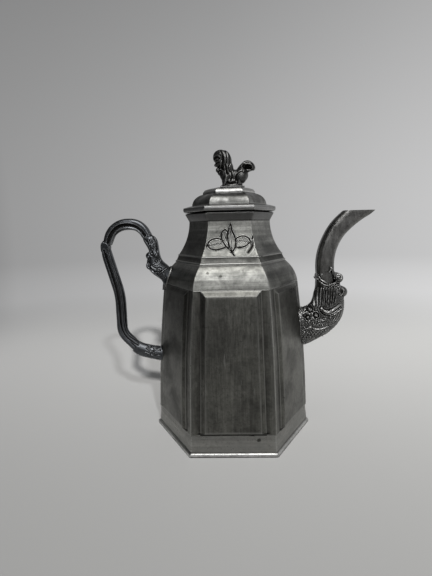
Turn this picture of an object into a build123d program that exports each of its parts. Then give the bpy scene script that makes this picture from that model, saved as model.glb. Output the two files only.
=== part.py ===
from build123d import *
from math import acos, cos, degrees, radians, sin, sqrt
import os

os.makedirs("parts", exist_ok=True)

# A tall six-sided pewter teapot, put together as a pewterer does it: rolled plates mitred at
# the arrises, cast rings between them, a dragon's-head socket that carries a faceted spout, a
# reeded handle with a second dragon's head, and a lid that lifts off. Millimetres.
# The origin is the middle of the underside, +X points to the spout and -Y is the front.
# A corner size runs from the axis to an arris, and a height is measured from the piece below.

# Body
side_count = 6
sheet = 2.0
base_corner = 66.0
base_thickness = 3.2
base_round = 1.2
band_foot_corner = 64.3
band_top_corner = 62.8
band_height = 12.8
wall_foot_corner = 63.7
wall_top_corner = 55.7
wall_height = 108.5
wall_bow = 1.15
shoulder_top_corner = 45.4
shoulder_height = 17.3
shoulder_bow = 1.7
collar_top_corner = 42.3
collar_height = 6.4
bead_low_width = 1.8
bead_high_width = 1.4
bead_rise = 0.5
neck_top_corner = 33.0
neck_height = 26.1
neck_bow = 1.95
mouth_corner = 36.3
mouth_height = 6.7

# Raised field of each wall
field_rise = 2.2
field_margin_foot = 7.1
field_margin_top = 5.7
field_lift = 1.2
field_drop = 1.6
field_bevel = 4.0
field_bevel_low = 1.4
field_lip = 0.25
field_hollow_inset = 1.4

# Strainer: holes through the two walls behind the spout, beside their shared arris
strainer_radius = 0.9
strainer_rows = 3
strainer_pitch = 3.0
strainer_columns = (2.2, 4.6)

# Lid
lid_gap = 0.3
lid_fit = 0.4
rim_corner = 37.9
rim_foot_corner = 37.3
rim_shoulder_corner = 37.6
rim_edge_height = 1.9
rim_shoulder_height = 2.9
rim_height = 5.7
lid_collar_thickness = 1.6
lid_collar_depth = 6.6
lid_collar_seat = 2.7
dome_foot_corner = 30.4
dome_top_corner = 21.6
dome_height = 9.9
dome_bow = 1.9
dome_wall = 1.8
cap_foot_corner = 20.6
cap_bevel_foot_corner = 20.3
cap_bevel_top_corner = 17.7
cap_top_corner = 10.5
cap_edge_height = 0.5
cap_bevel_height = 3.1
cap_height = 4.4
cap_hollow_corner = 15.0
cap_hollow_height = 2.1

# Lion on the lid, and the pin that holds it
lion_offset = 2.8
plinth_length = 19.4
plinth_width = 12.6
plinth_thickness = 1.9
plinth_bevel = 0.7
tail_radius = 2.9
pin_radius = 1.6
pin_fit = 0.05
pin_depth = 6.0
rivet_radius = 3.4
rivet_height = 1.4

# Spout tube: upright at the foot, then two arcs and a straight run, cut level at the tip
socket_height = 86.0
spout_out = 17.8
spout_foot_height = 117.0
spout_upright = 20.0
spout_bend_radius = 46.0
spout_bend_angle = 43.0
spout_ease_radius = 80.0
spout_ease_angle = 11.0
spout_run = 16.0
spout_rise = 63.5
spout_width_foot = 15.4
spout_width_tip = 14.0
spout_depth_foot = 12.6
spout_depth_tip = 10.2
spout_chamfer = 2.4
spout_wall = 1.5

# Dragon's-head socket
socket_fit = 0.1
socket_root_bore = 6.1
socket_throat_bore = 4.6
socket_reach_in = 12.0
root_inner_depth = 8.2
root_outer_depth = 8.8
throat_turn_share = 0.53
gape_out = 3.0
gape_rise = 13.6
gape_radius = 8.1
gape_right = 5.6
nose_radius = 4.0
nose_half_width = 8.0
brow_radius = 4.5
brow_half_width = 7.4
eye_radius = 1.8
eye_half_width = 9.6
fang_radius = 1.6
fang_tip_radius = 0.6
fang_root_width = 6.6
fang_tip_width = 7.3

# Handle: a reeded bar of two rolls with a rib between them
solder_gap = 0.04
bar_thickness = 8.9
bar_depth = 7.4
arch_end_thickness = 6.6
arch_crown_thickness = 9.3
head_neck_thickness = 7.8
roll_overlap = 0.35
rib_half_thickness = 1.2
rib_sink = 0.9
scroll_radius = 4.5
scroll_width = 7.8
tail_root_height = 63.2
tail_root_depth = 10.4
head_root_rise = 6.0
high_curl_radius = 3.2
low_curl_radius = 3.4
curl_half_width = 6.4
ear_length = 9.2
ear_tip_radius = 1.6
ear_root_radius = 2.1
ear_tip_width = 4.6
ear_root_width = 5.2
saddle_thickness = 0.9
saddle_half_width = 6.6
saddle_half_height = 10.0

# Heights from the floor
flat = cos(radians(180 / side_count))
wall_foot = base_thickness + band_height
wall_top = wall_foot + wall_height
shoulder_top = wall_top + shoulder_height
collar_top = shoulder_top + collar_height
neck_top = collar_top + neck_height
mouth_top = neck_top + mouth_height
lid_foot = mouth_top + lid_gap
dome_foot = lid_foot + rim_height
dome_top = dome_foot + dome_height
cap_top = dome_top + cap_height
spout_bend_height = spout_foot_height + spout_upright
gape_height = spout_foot_height + gape_rise
head_root_height = wall_top + head_root_rise

side_names = ("front", "front_right", "back_right", "back", "back_left", "front_left")
side_turn = 360 / side_count

# The front side's sketch plane: x is the distance from the axis and y is the height
front_section = Plane(origin=(0, 0, 0), x_dir=(0, -1, 0), z_dir=(-1, 0, 0))
front_mitres = []
for side_sign in (-1, 1):
    arris_normal = (side_sign * cos(radians(side_turn / 2)), -sin(radians(side_turn / 2)), 0)
    front_mitres.append(Plane((0, 0, 0), z_dir=arris_normal))


def mid_arc(start, end, bow):
    """Middle point of an arc from start to end that stands bow proud of its chord."""
    (r0, z0), (r1, z1) = start, end
    length = sqrt((r1 - r0) ** 2 + (z1 - z0) ** 2)
    return ((r0 + r1) / 2 + bow * (z1 - z0) / length, (z0 + z1) / 2 + bow * (r0 - r1) / length)


def bowed_outline(low, high, bow, thickness):
    """Closed outline of a bowed plate from two (corner size, height) pairs, thickness level."""
    outer_low = (low[0] * flat, low[1])
    outer_high = (high[0] * flat, high[1])
    inner_low = (max(outer_low[0] - thickness, 0), low[1])
    inner_high = (max(outer_high[0] - thickness, 0), high[1])
    with BuildLine() as outline:
        ThreePointArc(outer_low, mid_arc(outer_low, outer_high, bow), outer_high)
        Line(outer_high, inner_high)
        if inner_low[0] > 0:
            ThreePointArc(inner_high, mid_arc(inner_low, inner_high, bow), inner_low)
        else:
            Line(inner_high, inner_low)
        Line(inner_low, outer_low)
    return outline.line


def straight_outline(points):
    """Closed outline through (corner size, height) pairs."""
    with BuildLine() as outline:
        Polyline([(corner * flat, height) for corner, height in points], close=True)
    return outline.line


def front_plate(outline):
    """An outline drawn across the front side and mitred at both of its arrises."""
    with BuildPart() as plate:
        with BuildSketch(front_section):
            with BuildLine():
                add(outline)
            make_face()
        extrude(amount=base_corner, both=True)
        for mitre in front_mitres:
            split(bisect_by=mitre, keep=Keep.TOP)
    return plate.part


def ring_of(front):
    """One piece round all the sides, from what stands at the front."""
    with BuildPart() as ring:
        with PolarLocations(0, side_count):
            add(front)
    return ring.part


def turned_to(side, front):
    """The front piece, turned to another side."""
    return front.rotate(Axis.Z, side * side_turn)


def swelling(start, end, start_radius, end_radius):
    """A limb with round ends: two balls with the cone that touches both."""
    run = Vector(*end) - Vector(*start)
    slope = (start_radius - end_radius) / run.length
    level = sqrt(1 - slope**2)
    with BuildPart() as limb:
        with BuildSketch(Plane(origin=start, x_dir=run, z_dir=run.cross(Vector(0.3, 0.2, 0.9)))):
            with BuildLine():
                CenterArc((0, 0), start_radius, degrees(acos(slope)), 180 - degrees(acos(slope)))
                Line(
                    (start_radius * slope, start_radius * level),
                    (run.length + end_radius * slope, end_radius * level),
                )
                CenterArc((run.length, 0), end_radius, 0, degrees(acos(slope)))
                Line((-start_radius, 0), (run.length + end_radius, 0))
            make_face()
        revolve(axis=Axis(start, run))
    return limb.part


def lobe_across(x, z, half_width, radius):
    """A round-ended lobe that lies from side to side."""
    reach = half_width - radius
    return swelling((x, -reach, z), (x, reach, z), radius, radius)


def section_between(a, b):
    """Plane square to the front view through two (x, height) points, x running from a to b."""
    run = Vector(b[0] - a[0], 0, b[1] - a[1])
    middle = Vector((a[0] + b[0]) / 2, 0, (a[1] + b[1]) / 2)
    return Plane(origin=middle, x_dir=run, z_dir=run.cross(Vector(0, 1, 0)))


oval = sqrt(0.5)
squarish = 0.79


def lofted_casting(sections):
    """A rounded casting through sections: two outline points, half depth and fullness."""
    with BuildPart() as casting:
        for a, b, half_depth, fullness in sections:
            half_run = sqrt((b[0] - a[0]) ** 2 + (b[1] - a[1]) ** 2) / 2
            ends = [(half_run, 0), (0, half_depth), (-half_run, 0), (0, -half_depth), (half_run, 0)]
            with BuildSketch(section_between(a, b)):
                with BuildLine():
                    for start, end in zip(ends, ends[1:]):
                        between = ((start[0] + end[0]) * fullness, (start[1] + end[1]) * fullness)
                        ThreePointArc(start, between, end)
                make_face()
        loft()
    return casting.part


def write(part, name):
    """Labels a finished piece and writes its file."""
    part.label = name
    export_step(part, f"parts/{name}.step")


def wall_corner(height):
    """Corner size of the bowed wall at a height, for what is soldered to an arris."""
    t = (height - wall_foot) / wall_height
    straight = wall_foot_corner + (wall_top_corner - wall_foot_corner) * t
    return straight + 4 * wall_bow * t * (1 - t) / flat


# Base plate, which stands proud of the walls all round
with BuildPart() as base_plate:
    with BuildSketch():
        RegularPolygon(base_corner, side_count)
    extrude(amount=base_thickness)
    fillet(base_plate.faces().sort_by(Axis.Z)[-1].edges(), base_round)
write(base_plate.part, "base_plate")

# Foot band, leaning in a little as it rises
band_outline = straight_outline([
    (band_foot_corner, base_thickness),
    (band_top_corner, wall_foot),
    (band_top_corner - sheet / flat, wall_foot),
    (band_foot_corner - sheet / flat, base_thickness),
])
write(ring_of(front_plate(band_outline)), "foot_band")


def front_field(offset, depth, inset):
    """The bevelled field at the front, its crown offset from the wall's bowed face."""
    low = wall_foot + field_lift + inset
    high = wall_top - field_drop - inset
    half_low = wall_foot_corner / 2 - field_margin_foot - inset
    half_high = wall_top_corner / 2 - field_margin_top - inset
    crown_low = (wall_foot_corner + offset / flat, wall_foot)
    crown_high = (wall_top_corner + offset / flat, wall_top)
    with BuildPart() as panel:
        with BuildSketch(front_section):
            with BuildLine():
                add(bowed_outline(crown_low, crown_high, wall_bow, depth))
            make_face()
        extrude(amount=wall_foot_corner, both=True)
        with BuildSketch(Plane.XZ):
            with BuildLine():
                Polyline(
                    [(-half_low, low), (half_low, low), (half_high, high), (-half_high, high)],
                    close=True,
                )
            make_face()
        extrude(amount=base_corner, mode=Mode.INTERSECT)
        fall = field_rise - field_lip
        crown = panel.faces().filter_by(GeomType.CYLINDER).sort_by(Axis.Y)[0]
        chamfer(crown.edges().sort_by(Axis.Z)[1:], length=field_bevel, length2=fall, reference=crown)
        crown = panel.faces().filter_by(GeomType.CYLINDER).sort_by(Axis.Y)[0]
        low_edge = crown.edges().sort_by(Axis.Z)[0]
        chamfer(low_edge, length=field_bevel_low, length2=fall, reference=crown)
    return panel.part


# Walls: bowed plates with a field pressed out of each, hollow behind
plain_wall = front_plate(
    bowed_outline((wall_foot_corner, wall_foot), (wall_top_corner, wall_top), wall_bow, sheet)
)
field = front_field(field_rise, field_rise + sheet / 2, 0)
field_hollow = front_field(field_rise - sheet, field_rise + sheet / 2, field_hollow_inset)
with BuildPart() as wall:
    add(plain_wall)
    add(field)
    add(field_hollow, mode=Mode.SUBTRACT)

# Strainer holes, square to each wall, counted along it from the arris behind the spout
strainer_arris = wall_corner(socket_height)


def strainer_drill(side_sign):
    """The drills for one of the two walls, which meet at the arris on +X."""
    outward = Vector(cos(radians(side_turn / 2)), side_sign * sin(radians(side_turn / 2)), 0)
    along = Vector(-sin(radians(side_turn / 2)), side_sign * cos(radians(side_turn / 2)), 0)
    middle = Vector(strainer_arris, 0, socket_height)
    with BuildPart() as drill:
        for column in strainer_columns:
            with BuildSketch(Plane(origin=middle + along * column, x_dir=(0, 0, 1), z_dir=outward)):
                with GridLocations(strainer_pitch, 1, strainer_rows, 1):
                    Circle(strainer_radius)
        extrude(amount=4 * sheet, both=True)
    return drill.part


pierced = {"front_right": strainer_drill(-1), "back_right": strainer_drill(1)}
for side, name in enumerate(side_names):
    with BuildPart() as side_wall:
        add(turned_to(side, wall.part))
        if name in pierced:
            add(pierced[name], mode=Mode.SUBTRACT)
    write(side_wall.part, f"wall_{name}")

# Shoulders lean in over the walls
shoulder = front_plate(
    bowed_outline((wall_top_corner, wall_top), (shoulder_top_corner, shoulder_top), shoulder_bow, sheet)
)
for side, name in enumerate(side_names):
    write(turned_to(side, shoulder), f"shoulder_{name}")


# Collar between shoulder and neck, with a bead along each edge
def collar_point(height, rise):
    """A point on the collar's leaning face, or standing proud of it."""
    share = (height - shoulder_top) / collar_height
    corner = shoulder_top_corner + (collar_top_corner - shoulder_top_corner) * share
    return (corner * flat + rise, height)


with BuildLine() as collar_outline:
    low_end = shoulder_top + bead_low_width
    high_start = collar_top - bead_high_width
    ThreePointArc(
        collar_point(shoulder_top, 0),
        collar_point(shoulder_top + bead_low_width / 2, bead_rise),
        collar_point(low_end, 0),
    )
    Line(collar_point(low_end, 0), collar_point(high_start, 0))
    ThreePointArc(
        collar_point(high_start, 0),
        collar_point(collar_top - bead_high_width / 2, bead_rise),
        collar_point(collar_top, 0),
    )
    Polyline(
        collar_point(collar_top, 0),
        collar_point(collar_top, -sheet),
        collar_point(shoulder_top, -sheet),
        collar_point(shoulder_top, 0),
    )
write(ring_of(front_plate(collar_outline.line)), "neck_collar")

# Neck plates curve in and up to the mouth
neck = front_plate(
    bowed_outline((collar_top_corner, collar_top), (neck_top_corner, neck_top), -neck_bow, sheet)
)
for side, name in enumerate(side_names):
    write(turned_to(side, neck), f"neck_{name}")

# Mouth ring, flared outside and straight inside, which the lid sits on
throat_corner = neck_top_corner - sheet / flat
mouth_outline = straight_outline([
    (neck_top_corner, neck_top),
    (mouth_corner, mouth_top),
    (throat_corner, mouth_top),
    (throat_corner, neck_top),
])
write(ring_of(front_plate(mouth_outline)), "mouth_ring")

# Lid rim, with a rebate under it for the collar that drops into the mouth
lid_collar_corner = throat_corner - lid_fit / flat
dome_foot_inner = dome_foot_corner - dome_wall / flat
rim_outline = straight_outline([
    (rim_foot_corner, lid_foot),
    (rim_corner, lid_foot + rim_edge_height),
    (rim_shoulder_corner, lid_foot + rim_shoulder_height),
    (dome_foot_corner, dome_foot),
    (dome_foot_inner, dome_foot),
    (dome_foot_inner, lid_foot + lid_collar_seat),
    (lid_collar_corner, lid_foot + lid_collar_seat),
    (lid_collar_corner, lid_foot),
])
write(ring_of(front_plate(rim_outline)), "lid_rim")

lid_collar_inner = lid_collar_corner - lid_collar_thickness / flat
lid_collar_outline = straight_outline([
    (lid_collar_corner, mouth_top - lid_collar_depth),
    (lid_collar_corner, lid_foot + lid_collar_seat),
    (lid_collar_inner, lid_foot + lid_collar_seat),
    (lid_collar_inner, mouth_top - lid_collar_depth),
])
write(ring_of(front_plate(lid_collar_outline)), "lid_collar")

dome = front_plate(
    bowed_outline((dome_foot_corner, dome_foot), (dome_top_corner, dome_top), dome_bow, dome_wall)
)
write(ring_of(dome), "lid_dome")

# Lid cap: a bevelled plate, hollow below, with a hole for the pin
with BuildPart() as lid_cap:
    for corner, height in (
        (cap_foot_corner, dome_top),
        (cap_bevel_foot_corner, dome_top + cap_edge_height),
        (cap_bevel_top_corner, dome_top + cap_bevel_height),
        (cap_top_corner, cap_top),
    ):
        with BuildSketch(Plane.XY.offset(height)):
            RegularPolygon(corner, side_count)
    loft(ruled=True)
    with BuildSketch(Plane.XY.offset(dome_top)):
        RegularPolygon(cap_hollow_corner, side_count)
    extrude(amount=cap_hollow_height, mode=Mode.SUBTRACT)
    with BuildSketch(Plane.XY.offset(dome_top)):
        with Locations((lion_offset, 0)):
            Circle(pin_radius + pin_fit)
    extrude(amount=cap_height, mode=Mode.SUBTRACT)
write(lid_cap.part, "lid_cap")

# Pin: a rivet head under the cap and a shank up into the lion
cap_underside = dome_top + cap_hollow_height
with BuildPart() as finial_pin:
    with BuildSketch(Plane.XY.offset(cap_underside - rivet_height)):
        with Locations((lion_offset, 0)):
            Circle(rivet_radius)
    extrude(amount=rivet_height)
    fillet(finial_pin.edges().group_by(Axis.Z)[0], rivet_height / 2)
    with BuildSketch(Plane.XY.offset(cap_underside)):
        with Locations((lion_offset, 0)):
            Circle(pin_radius)
    extrude(amount=cap_top - cap_underside + pin_depth)
write(finial_pin.part, "finial_pin")


# Lion-dog: crouched on a plinth, head up to -X, mane down the back, tail curled over
def lion_swelling(start, end, start_radius, end_radius):
    """A limb of the lion between two (x, y, height) places measured from its plinth."""
    lift = Vector(lion_offset, 0, cap_top)
    return swelling(tuple(Vector(*start) + lift), tuple(Vector(*end) + lift), start_radius, end_radius)


lion_trunk = lion_swelling((-2.0, 0, 9.6), (8.0, 0, 9.4), 5.2, 5.4)
lion_chest = lion_swelling((-3.0, 0, 3.6), (-3.6, 0, 12.5), 3.6, 5.0)
lion_neck = lion_swelling((-3.6, 0, 13.0), (-6.2, 0, 23.0), 5.0, 6.3)
lion_skull = lion_swelling((-8.6, 0, 23.2), (-5.8, 0, 23.0), 5.6, 6.2)
lion_brow = lion_swelling((-11.2, -1.6, 23.4), (-11.2, 1.6, 23.4), 3.6, 3.6)
lion_muzzle = lion_swelling((-11.2, -1.4, 17.9), (-11.2, 1.4, 17.9), 3.0, 3.0)
lion_beard = lion_swelling((-9.7, 0, 15.0), (-10.0, 0, 12.8), 2.3, 2.5)
tail_run = [(9.2, 0, 9.6), (8.8, 0, 14.6), (10.4, 0, 16.9), (13.2, 0, 17.3), (15.9, 0, 14.5)]
lion_limbs = [lion_trunk, lion_chest, lion_neck, lion_skull, lion_brow, lion_muzzle, lion_beard]
for side_sign in (-1, 1):
    lion_limbs += [
        lion_swelling((-4.0, side_sign * 3.4, 9.0), (-4.6, side_sign * 3.8, 2.4), 2.2, 1.7),
        lion_swelling((-7.2, side_sign * 3.8, 2.1), (-4.4, side_sign * 3.8, 2.3), 1.5, 1.7),
        lion_swelling((7.4, side_sign * 3.6, 7.2), (5.6, side_sign * 3.9, 3.4), 3.6, 2.2),
        lion_swelling((2.6, side_sign * 4.2, 2.1), (6.0, side_sign * 4.0, 2.4), 1.5, 1.8),
        lion_swelling((-3.2, side_sign * 2.6, 26.0), (-1.8, side_sign * 3.4, 13.0), 2.4, 2.6),
        lion_swelling((-11.8, side_sign * 3.4, 24.8), (-9.4, side_sign * 4.4, 25.0), 1.1, 1.3),
    ]
for tail_start, tail_stop in zip(tail_run, tail_run[1:]):
    lion_limbs.append(lion_swelling(tail_start, tail_stop, tail_radius, tail_radius))

with BuildPart() as lion_finial:
    with BuildSketch(Plane.XY.offset(cap_top)):
        with Locations((lion_offset, 0)):
            Rectangle(plinth_length, plinth_width)
    extrude(amount=plinth_thickness)
    chamfer(lion_finial.faces().sort_by(Axis.Z)[-1].edges(), plinth_bevel)
    for limb in lion_limbs:
        add(limb)
    with BuildSketch(Plane.XY.offset(cap_top)):
        with Locations((lion_offset, 0)):
            Circle(pin_radius + pin_fit)
    extrude(amount=pin_depth + pin_fit, mode=Mode.SUBTRACT)
write(lion_finial.part, "lion_finial")


# The body as one block, to cut what is soldered onto it
def body_block(gap):
    """The outside of walls and shoulders, filled in and grown by a gap."""
    more = gap / flat
    foot = (wall_foot_corner + more, wall_foot)
    waist = (wall_top_corner + more, wall_top)
    top = (shoulder_top_corner + more, shoulder_top)
    filled_wall = front_plate(bowed_outline(foot, waist, wall_bow, base_corner))
    filled_shoulder = front_plate(bowed_outline(waist, top, shoulder_bow, base_corner))
    filled_field = front_field(field_rise + gap, field_rise + sheet / 2, -gap)
    with BuildPart() as block:
        with PolarLocations(0, side_count):
            add([filled_wall, filled_shoulder, filled_field])
    return block.part


soldered_body = body_block(solder_gap)

# Spout: its centre line, as points, leans and shares of its length
spout_x = wall_corner(socket_height) + spout_out


def spout_stations():
    """Centre points in (x, height), with the lean from upright at each."""
    stations = [((spout_x, height), 0) for height in (spout_foot_height, spout_bend_height)]
    bend_steps = 6
    centre = Vector(spout_x + spout_bend_radius, spout_bend_height)
    for step in range(1, bend_steps + 1):
        lean = spout_bend_angle * step / bend_steps
        point = centre - Vector(cos(radians(lean)), -sin(radians(lean))) * spout_bend_radius
        stations.append(((point.X, point.Y), lean))
    centre = point + Vector(cos(radians(lean)), -sin(radians(lean))) * spout_ease_radius
    ease_steps = 2
    for step in range(1, ease_steps + 1):
        lean = spout_bend_angle + spout_ease_angle * step / ease_steps
        point = centre - Vector(cos(radians(lean)), -sin(radians(lean))) * spout_ease_radius
        stations.append(((point.X, point.Y), lean))
    point = point + Vector(sin(radians(lean)), cos(radians(lean))) * spout_run
    stations.append(((point.X, point.Y), lean))
    return stations


def spout_solid(grow, foot_drop):
    """The faceted tube as a solid bar, its faces moved out by grow and its foot lowered."""
    stations = spout_stations()
    (foot_x, foot_z), lean = stations[0]
    stations[0] = ((foot_x, foot_z - foot_drop), lean)
    lengths = [0.0]
    for (before, _), (after, _) in zip(stations, stations[1:]):
        lengths.append(lengths[-1] + sqrt((after[0] - before[0]) ** 2 + (after[1] - before[1]) ** 2))
    with BuildPart() as bar:
        for ((x, z), lean), length in zip(stations, lengths):
            share = length / lengths[-1]
            width = spout_width_foot + (spout_width_tip - spout_width_foot) * share + 2 * grow
            depth = spout_depth_foot + (spout_depth_tip - spout_depth_foot) * share + 2 * grow
            across = Vector(cos(radians(lean)), 0, -sin(radians(lean)))
            up = Vector(sin(radians(lean)), 0, cos(radians(lean)))
            with BuildSketch(Plane(origin=(x, 0, z), x_dir=across, z_dir=up)) as section:
                Rectangle(width, depth)
                chamfer(section.vertices(), spout_chamfer + grow * (2 - sqrt(2)))
        loft()
    return bar.part


spout_bar = spout_solid(0, 0)
spout_bore = spout_solid(-spout_wall, spout_wall)
with BuildPart() as spout_tube:
    add(spout_bar)
    add(spout_bore, mode=Mode.SUBTRACT)
    split(bisect_by=Plane.XY.offset(spout_foot_height + spout_rise), keep=Keep.BOTTOM)
write(spout_tube.part, "spout_tube")


# Dragon's head: it grows out of the arris, swells to the jowl and gapes upward round the tube
def from_spout(x, z):
    """A place in the front view, measured from the foot of the spout's centre line."""
    return (spout_x + x, spout_foot_height + z)


def from_root(x, z):
    """A place in the front view, measured from the socket's root below the spout's line."""
    return (spout_x + x, socket_height + z)


dragon_neck = lofted_casting([
    (from_root(-26.0, 19.0), from_root(-19.0, -14.5), root_inner_depth, oval),
    (from_root(-14.0, 19.5), from_root(-8.6, -13.4), root_outer_depth, oval),
    (from_spout(-9.4, -6.6), from_root(6.4, -4.5), 9.9, oval),
    (from_spout(-8.3, 0.6), from_spout(16.6, -18.4), 10.2, oval),
    (from_spout(-8.2, 7.4), from_spout(12.6, 3.6), 8.9, squarish),
    (from_spout(-8.2, 12.0), from_spout(9.8, 11.2), 8.0, squarish),
    (from_spout(-8.2, 16.0), from_spout(9.0, 16.0), 7.8, squarish),
])
nose_x, nose_z = from_spout(10.4, 9.2)
brow_x, brow_z = from_spout(13.8, -2.4)
eye_x, eye_z = from_spout(9.6, 2.0)
dragon_lobes = [
    lobe_across(nose_x, nose_z, nose_half_width, nose_radius),
    lobe_across(brow_x, brow_z, brow_half_width, brow_radius),
    lobe_across(eye_x, eye_z, eye_half_width, eye_radius),
]
fang_runs = (
    (from_spout(7.8, 9.6), from_spout(5.2, 16.3)),
    (from_spout(-7.0, 9.4), from_spout(-4.6, 12.6)),
)
for (root_x, root_z), (tip_x, tip_z) in fang_runs:
    for side_sign in (-1, 1):
        fang_root = (root_x, side_sign * fang_root_width, root_z)
        fang_tip = (tip_x, side_sign * fang_tip_width, tip_z)
        dragon_lobes.append(swelling(fang_root, fang_tip, fang_radius, fang_tip_radius))
tube_pocket = spout_solid(socket_fit, socket_fit)

# Passage for the tea: a round bore from inside the arris that bends up into the tube
root_bore = 2 * socket_root_bore
throat_bore = 2 * socket_throat_bore
throat_top = spout_foot_height + socket_fit + sheet
bend_height = socket_height + socket_root_bore * 0.75
turn_height = bend_height + (spout_foot_height - bend_height) * throat_turn_share
with BuildPart() as passage:
    for x, z, lean, bore in (
        (strainer_arris - socket_reach_in, socket_height, 90, root_bore),
        (strainer_arris + 4.5, socket_height, 86, root_bore),
        (strainer_arris + 11.5, bend_height, 50, (root_bore + throat_bore) / 2),
        (spout_x - 0.8, turn_height, 8, throat_bore),
        (spout_x, throat_top, 0, throat_bore),
    ):
        with BuildSketch(Plane(
            origin=(x, 0, z),
            x_dir=(cos(radians(lean)), 0, -sin(radians(lean))),
            z_dir=(sin(radians(lean)), 0, cos(radians(lean))),
        )):
            with BuildLine():
                for quarter in range(4):
                    CenterArc((0, 0), bore / 2, quarter * 90, 90)
            make_face()
    loft()
with BuildPart() as dragon_socket:
    add(dragon_neck)
    with BuildSketch(Plane.XZ):
        with Locations((spout_x + gape_out, gape_height)):
            Circle(gape_radius)
        with Locations((spout_x + (gape_right + gape_out - gape_radius) / 2, gape_height + gape_radius)):
            Rectangle(gape_right - gape_out + gape_radius, 2 * gape_radius)
        with Locations((spout_x - gape_radius, gape_height + gape_radius)):
            Rectangle(2 * gape_radius, 2 * gape_radius)
    extrude(amount=base_corner, both=True, mode=Mode.SUBTRACT)
    for lobe in dragon_lobes:
        add(lobe)
    add(soldered_body, mode=Mode.SUBTRACT)
    add(tube_pocket, mode=Mode.SUBTRACT)
    add(passage.part, mode=Mode.SUBTRACT)
write(dragon_socket.part, "dragon_socket")

# Handle: places are measured out from the arris, at the heights of its two roots
tail_arris = -wall_corner(tail_root_height)
head_arris = -wall_top_corner


def from_tail(out, up):
    """A place in the front view, out from the arris and up from the tail's root."""
    return (tail_arris - out, tail_root_height + up)


def from_head(out, up):
    """A place in the front view, out from the arris and up from the head's root."""
    return (head_arris - out, head_root_height + up)


def reeded_bar(points, radii, thicknesses, depths):
    """The reeded bar along a line of runs and arcs, with sections from its start to its end."""
    with BuildLine() as line:
        FilletPolyline(*[(x, 0, z) for x, z in points], radius=radii)
    path = line.line
    with BuildPart() as bar:
        last = len(thicknesses) - 1
        for step, (thickness, depth) in enumerate(zip(thicknesses, depths)):
            ahead = path % (step / last)
            roll_half = thickness / 4 + roll_overlap
            roll_middle = thickness / 4 - roll_overlap
            here = Plane(origin=path @ (step / last), x_dir=ahead.cross(Vector(0, 1, 0)), z_dir=ahead)
            with BuildSketch(here):
                with Locations((roll_middle, 0), (-roll_middle, 0)):
                    Ellipse(roll_half, depth / 2)
                Ellipse(rib_half_thickness, depth / 2 - rib_sink)
        sweep(path=path, multisection=True)
    return bar.part


# Grip: from the scroll under the thumb down to the tail
grip_top = from_head(48.4, 24.5)
grip_end = from_tail(17.6, 4.2)
grip_bar = reeded_bar(
    [grip_top, from_head(37.6, -16.0), from_tail(31.7, 18.8), grip_end],
    [60.0, 14.0],
    [bar_thickness, bar_thickness, bar_thickness],
    [bar_depth, bar_depth, bar_depth],
)
with BuildPart() as handle_grip:
    add(grip_bar)
    with BuildSketch(Plane.XZ.offset(-scroll_width / 2)):
        with Locations(grip_top):
            Circle(scroll_radius)
    extrude(amount=scroll_width)

# Arch: from behind the scroll, over the top and down to the dragon's neck
arch_start = from_head(46.2, 27.2)
arch_end = from_head(11.6, 32.0)
arch_bar = reeded_bar(
    [arch_start, from_head(40.8, 43.1), from_head(18.0, 43.1), arch_end],
    [17.0, 14.0],
    [arch_end_thickness, arch_crown_thickness, head_neck_thickness],
    [bar_depth, bar_depth, bar_depth],
)
arch_head = lofted_casting([
    (from_head(9.0, 36.0), from_head(16.0, 31.6), 3.4, oval),
    (from_head(6.9, 33.1), from_head(13.9, 25.8), 4.4, oval),
    (from_head(4.5, 30.2), from_head(11.6, 20.8), 5.6, oval),
    (from_head(3.0, 21.5), from_head(12.6, 15.5), 6.4, oval),
    (from_head(0.6, 13.0), from_head(13.4, 8.4), 6.8, oval),
    (from_head(-3.9, 8.6), from_head(8.2, 1.0), 6.8, oval),
    (from_head(-10.0, 4.0), from_head(0.0, -9.0), 6.6, oval),
])
high_curl_x, high_curl_z = from_head(10.6, 17.0)
low_curl_x, low_curl_z = from_head(10.6, 8.8)
ear_x, ear_z = from_head(5.5, 17.2)
head_lobes = [
    lobe_across(high_curl_x, high_curl_z, curl_half_width, high_curl_radius),
    lobe_across(low_curl_x, low_curl_z, curl_half_width, low_curl_radius),
]
ear_run = Vector(0.28, 0.96) * ear_length
for side_sign in (-1, 1):
    ear_root = (ear_x, side_sign * ear_root_width, ear_z)
    ear_tip = (ear_x - ear_run.X, side_sign * ear_tip_width, ear_z + ear_run.Y)
    head_lobes.append(swelling(ear_tip, ear_root, ear_tip_radius, ear_root_radius))
with BuildPart() as handle_arch:
    add(arch_bar)
    add(arch_head)
    for lobe in head_lobes:
        add(lobe)
    add(soldered_body, mode=Mode.SUBTRACT)
    add(handle_grip.part, mode=Mode.SUBTRACT)
write(handle_arch.part, "handle_arch")
write(handle_grip.part, "handle_grip")

# Tail: the cast root of the grip, swelling to the arris
tail_casting = lofted_casting([
    (from_tail(24.0, 2.6), from_tail(18.4, 11.6), 4.1, oval),
    (from_tail(18.6, -1.4), from_tail(14.6, 9.6), 4.5, oval),
    (from_tail(9.4, -4.2), from_tail(7.4, 7.6), 5.0, oval),
    (from_tail(1.0, -6.1), from_tail(0.2, 6.5), tail_root_depth / 2, oval),
    (from_tail(-6.0, -7.2), from_tail(-6.4, 6.6), tail_root_depth / 2, oval),
])
with BuildPart() as handle_tail:
    add(tail_casting)
    add(soldered_body, mode=Mode.SUBTRACT)
    add(handle_grip.part, mode=Mode.SUBTRACT)
write(handle_tail.part, "handle_tail")

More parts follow.
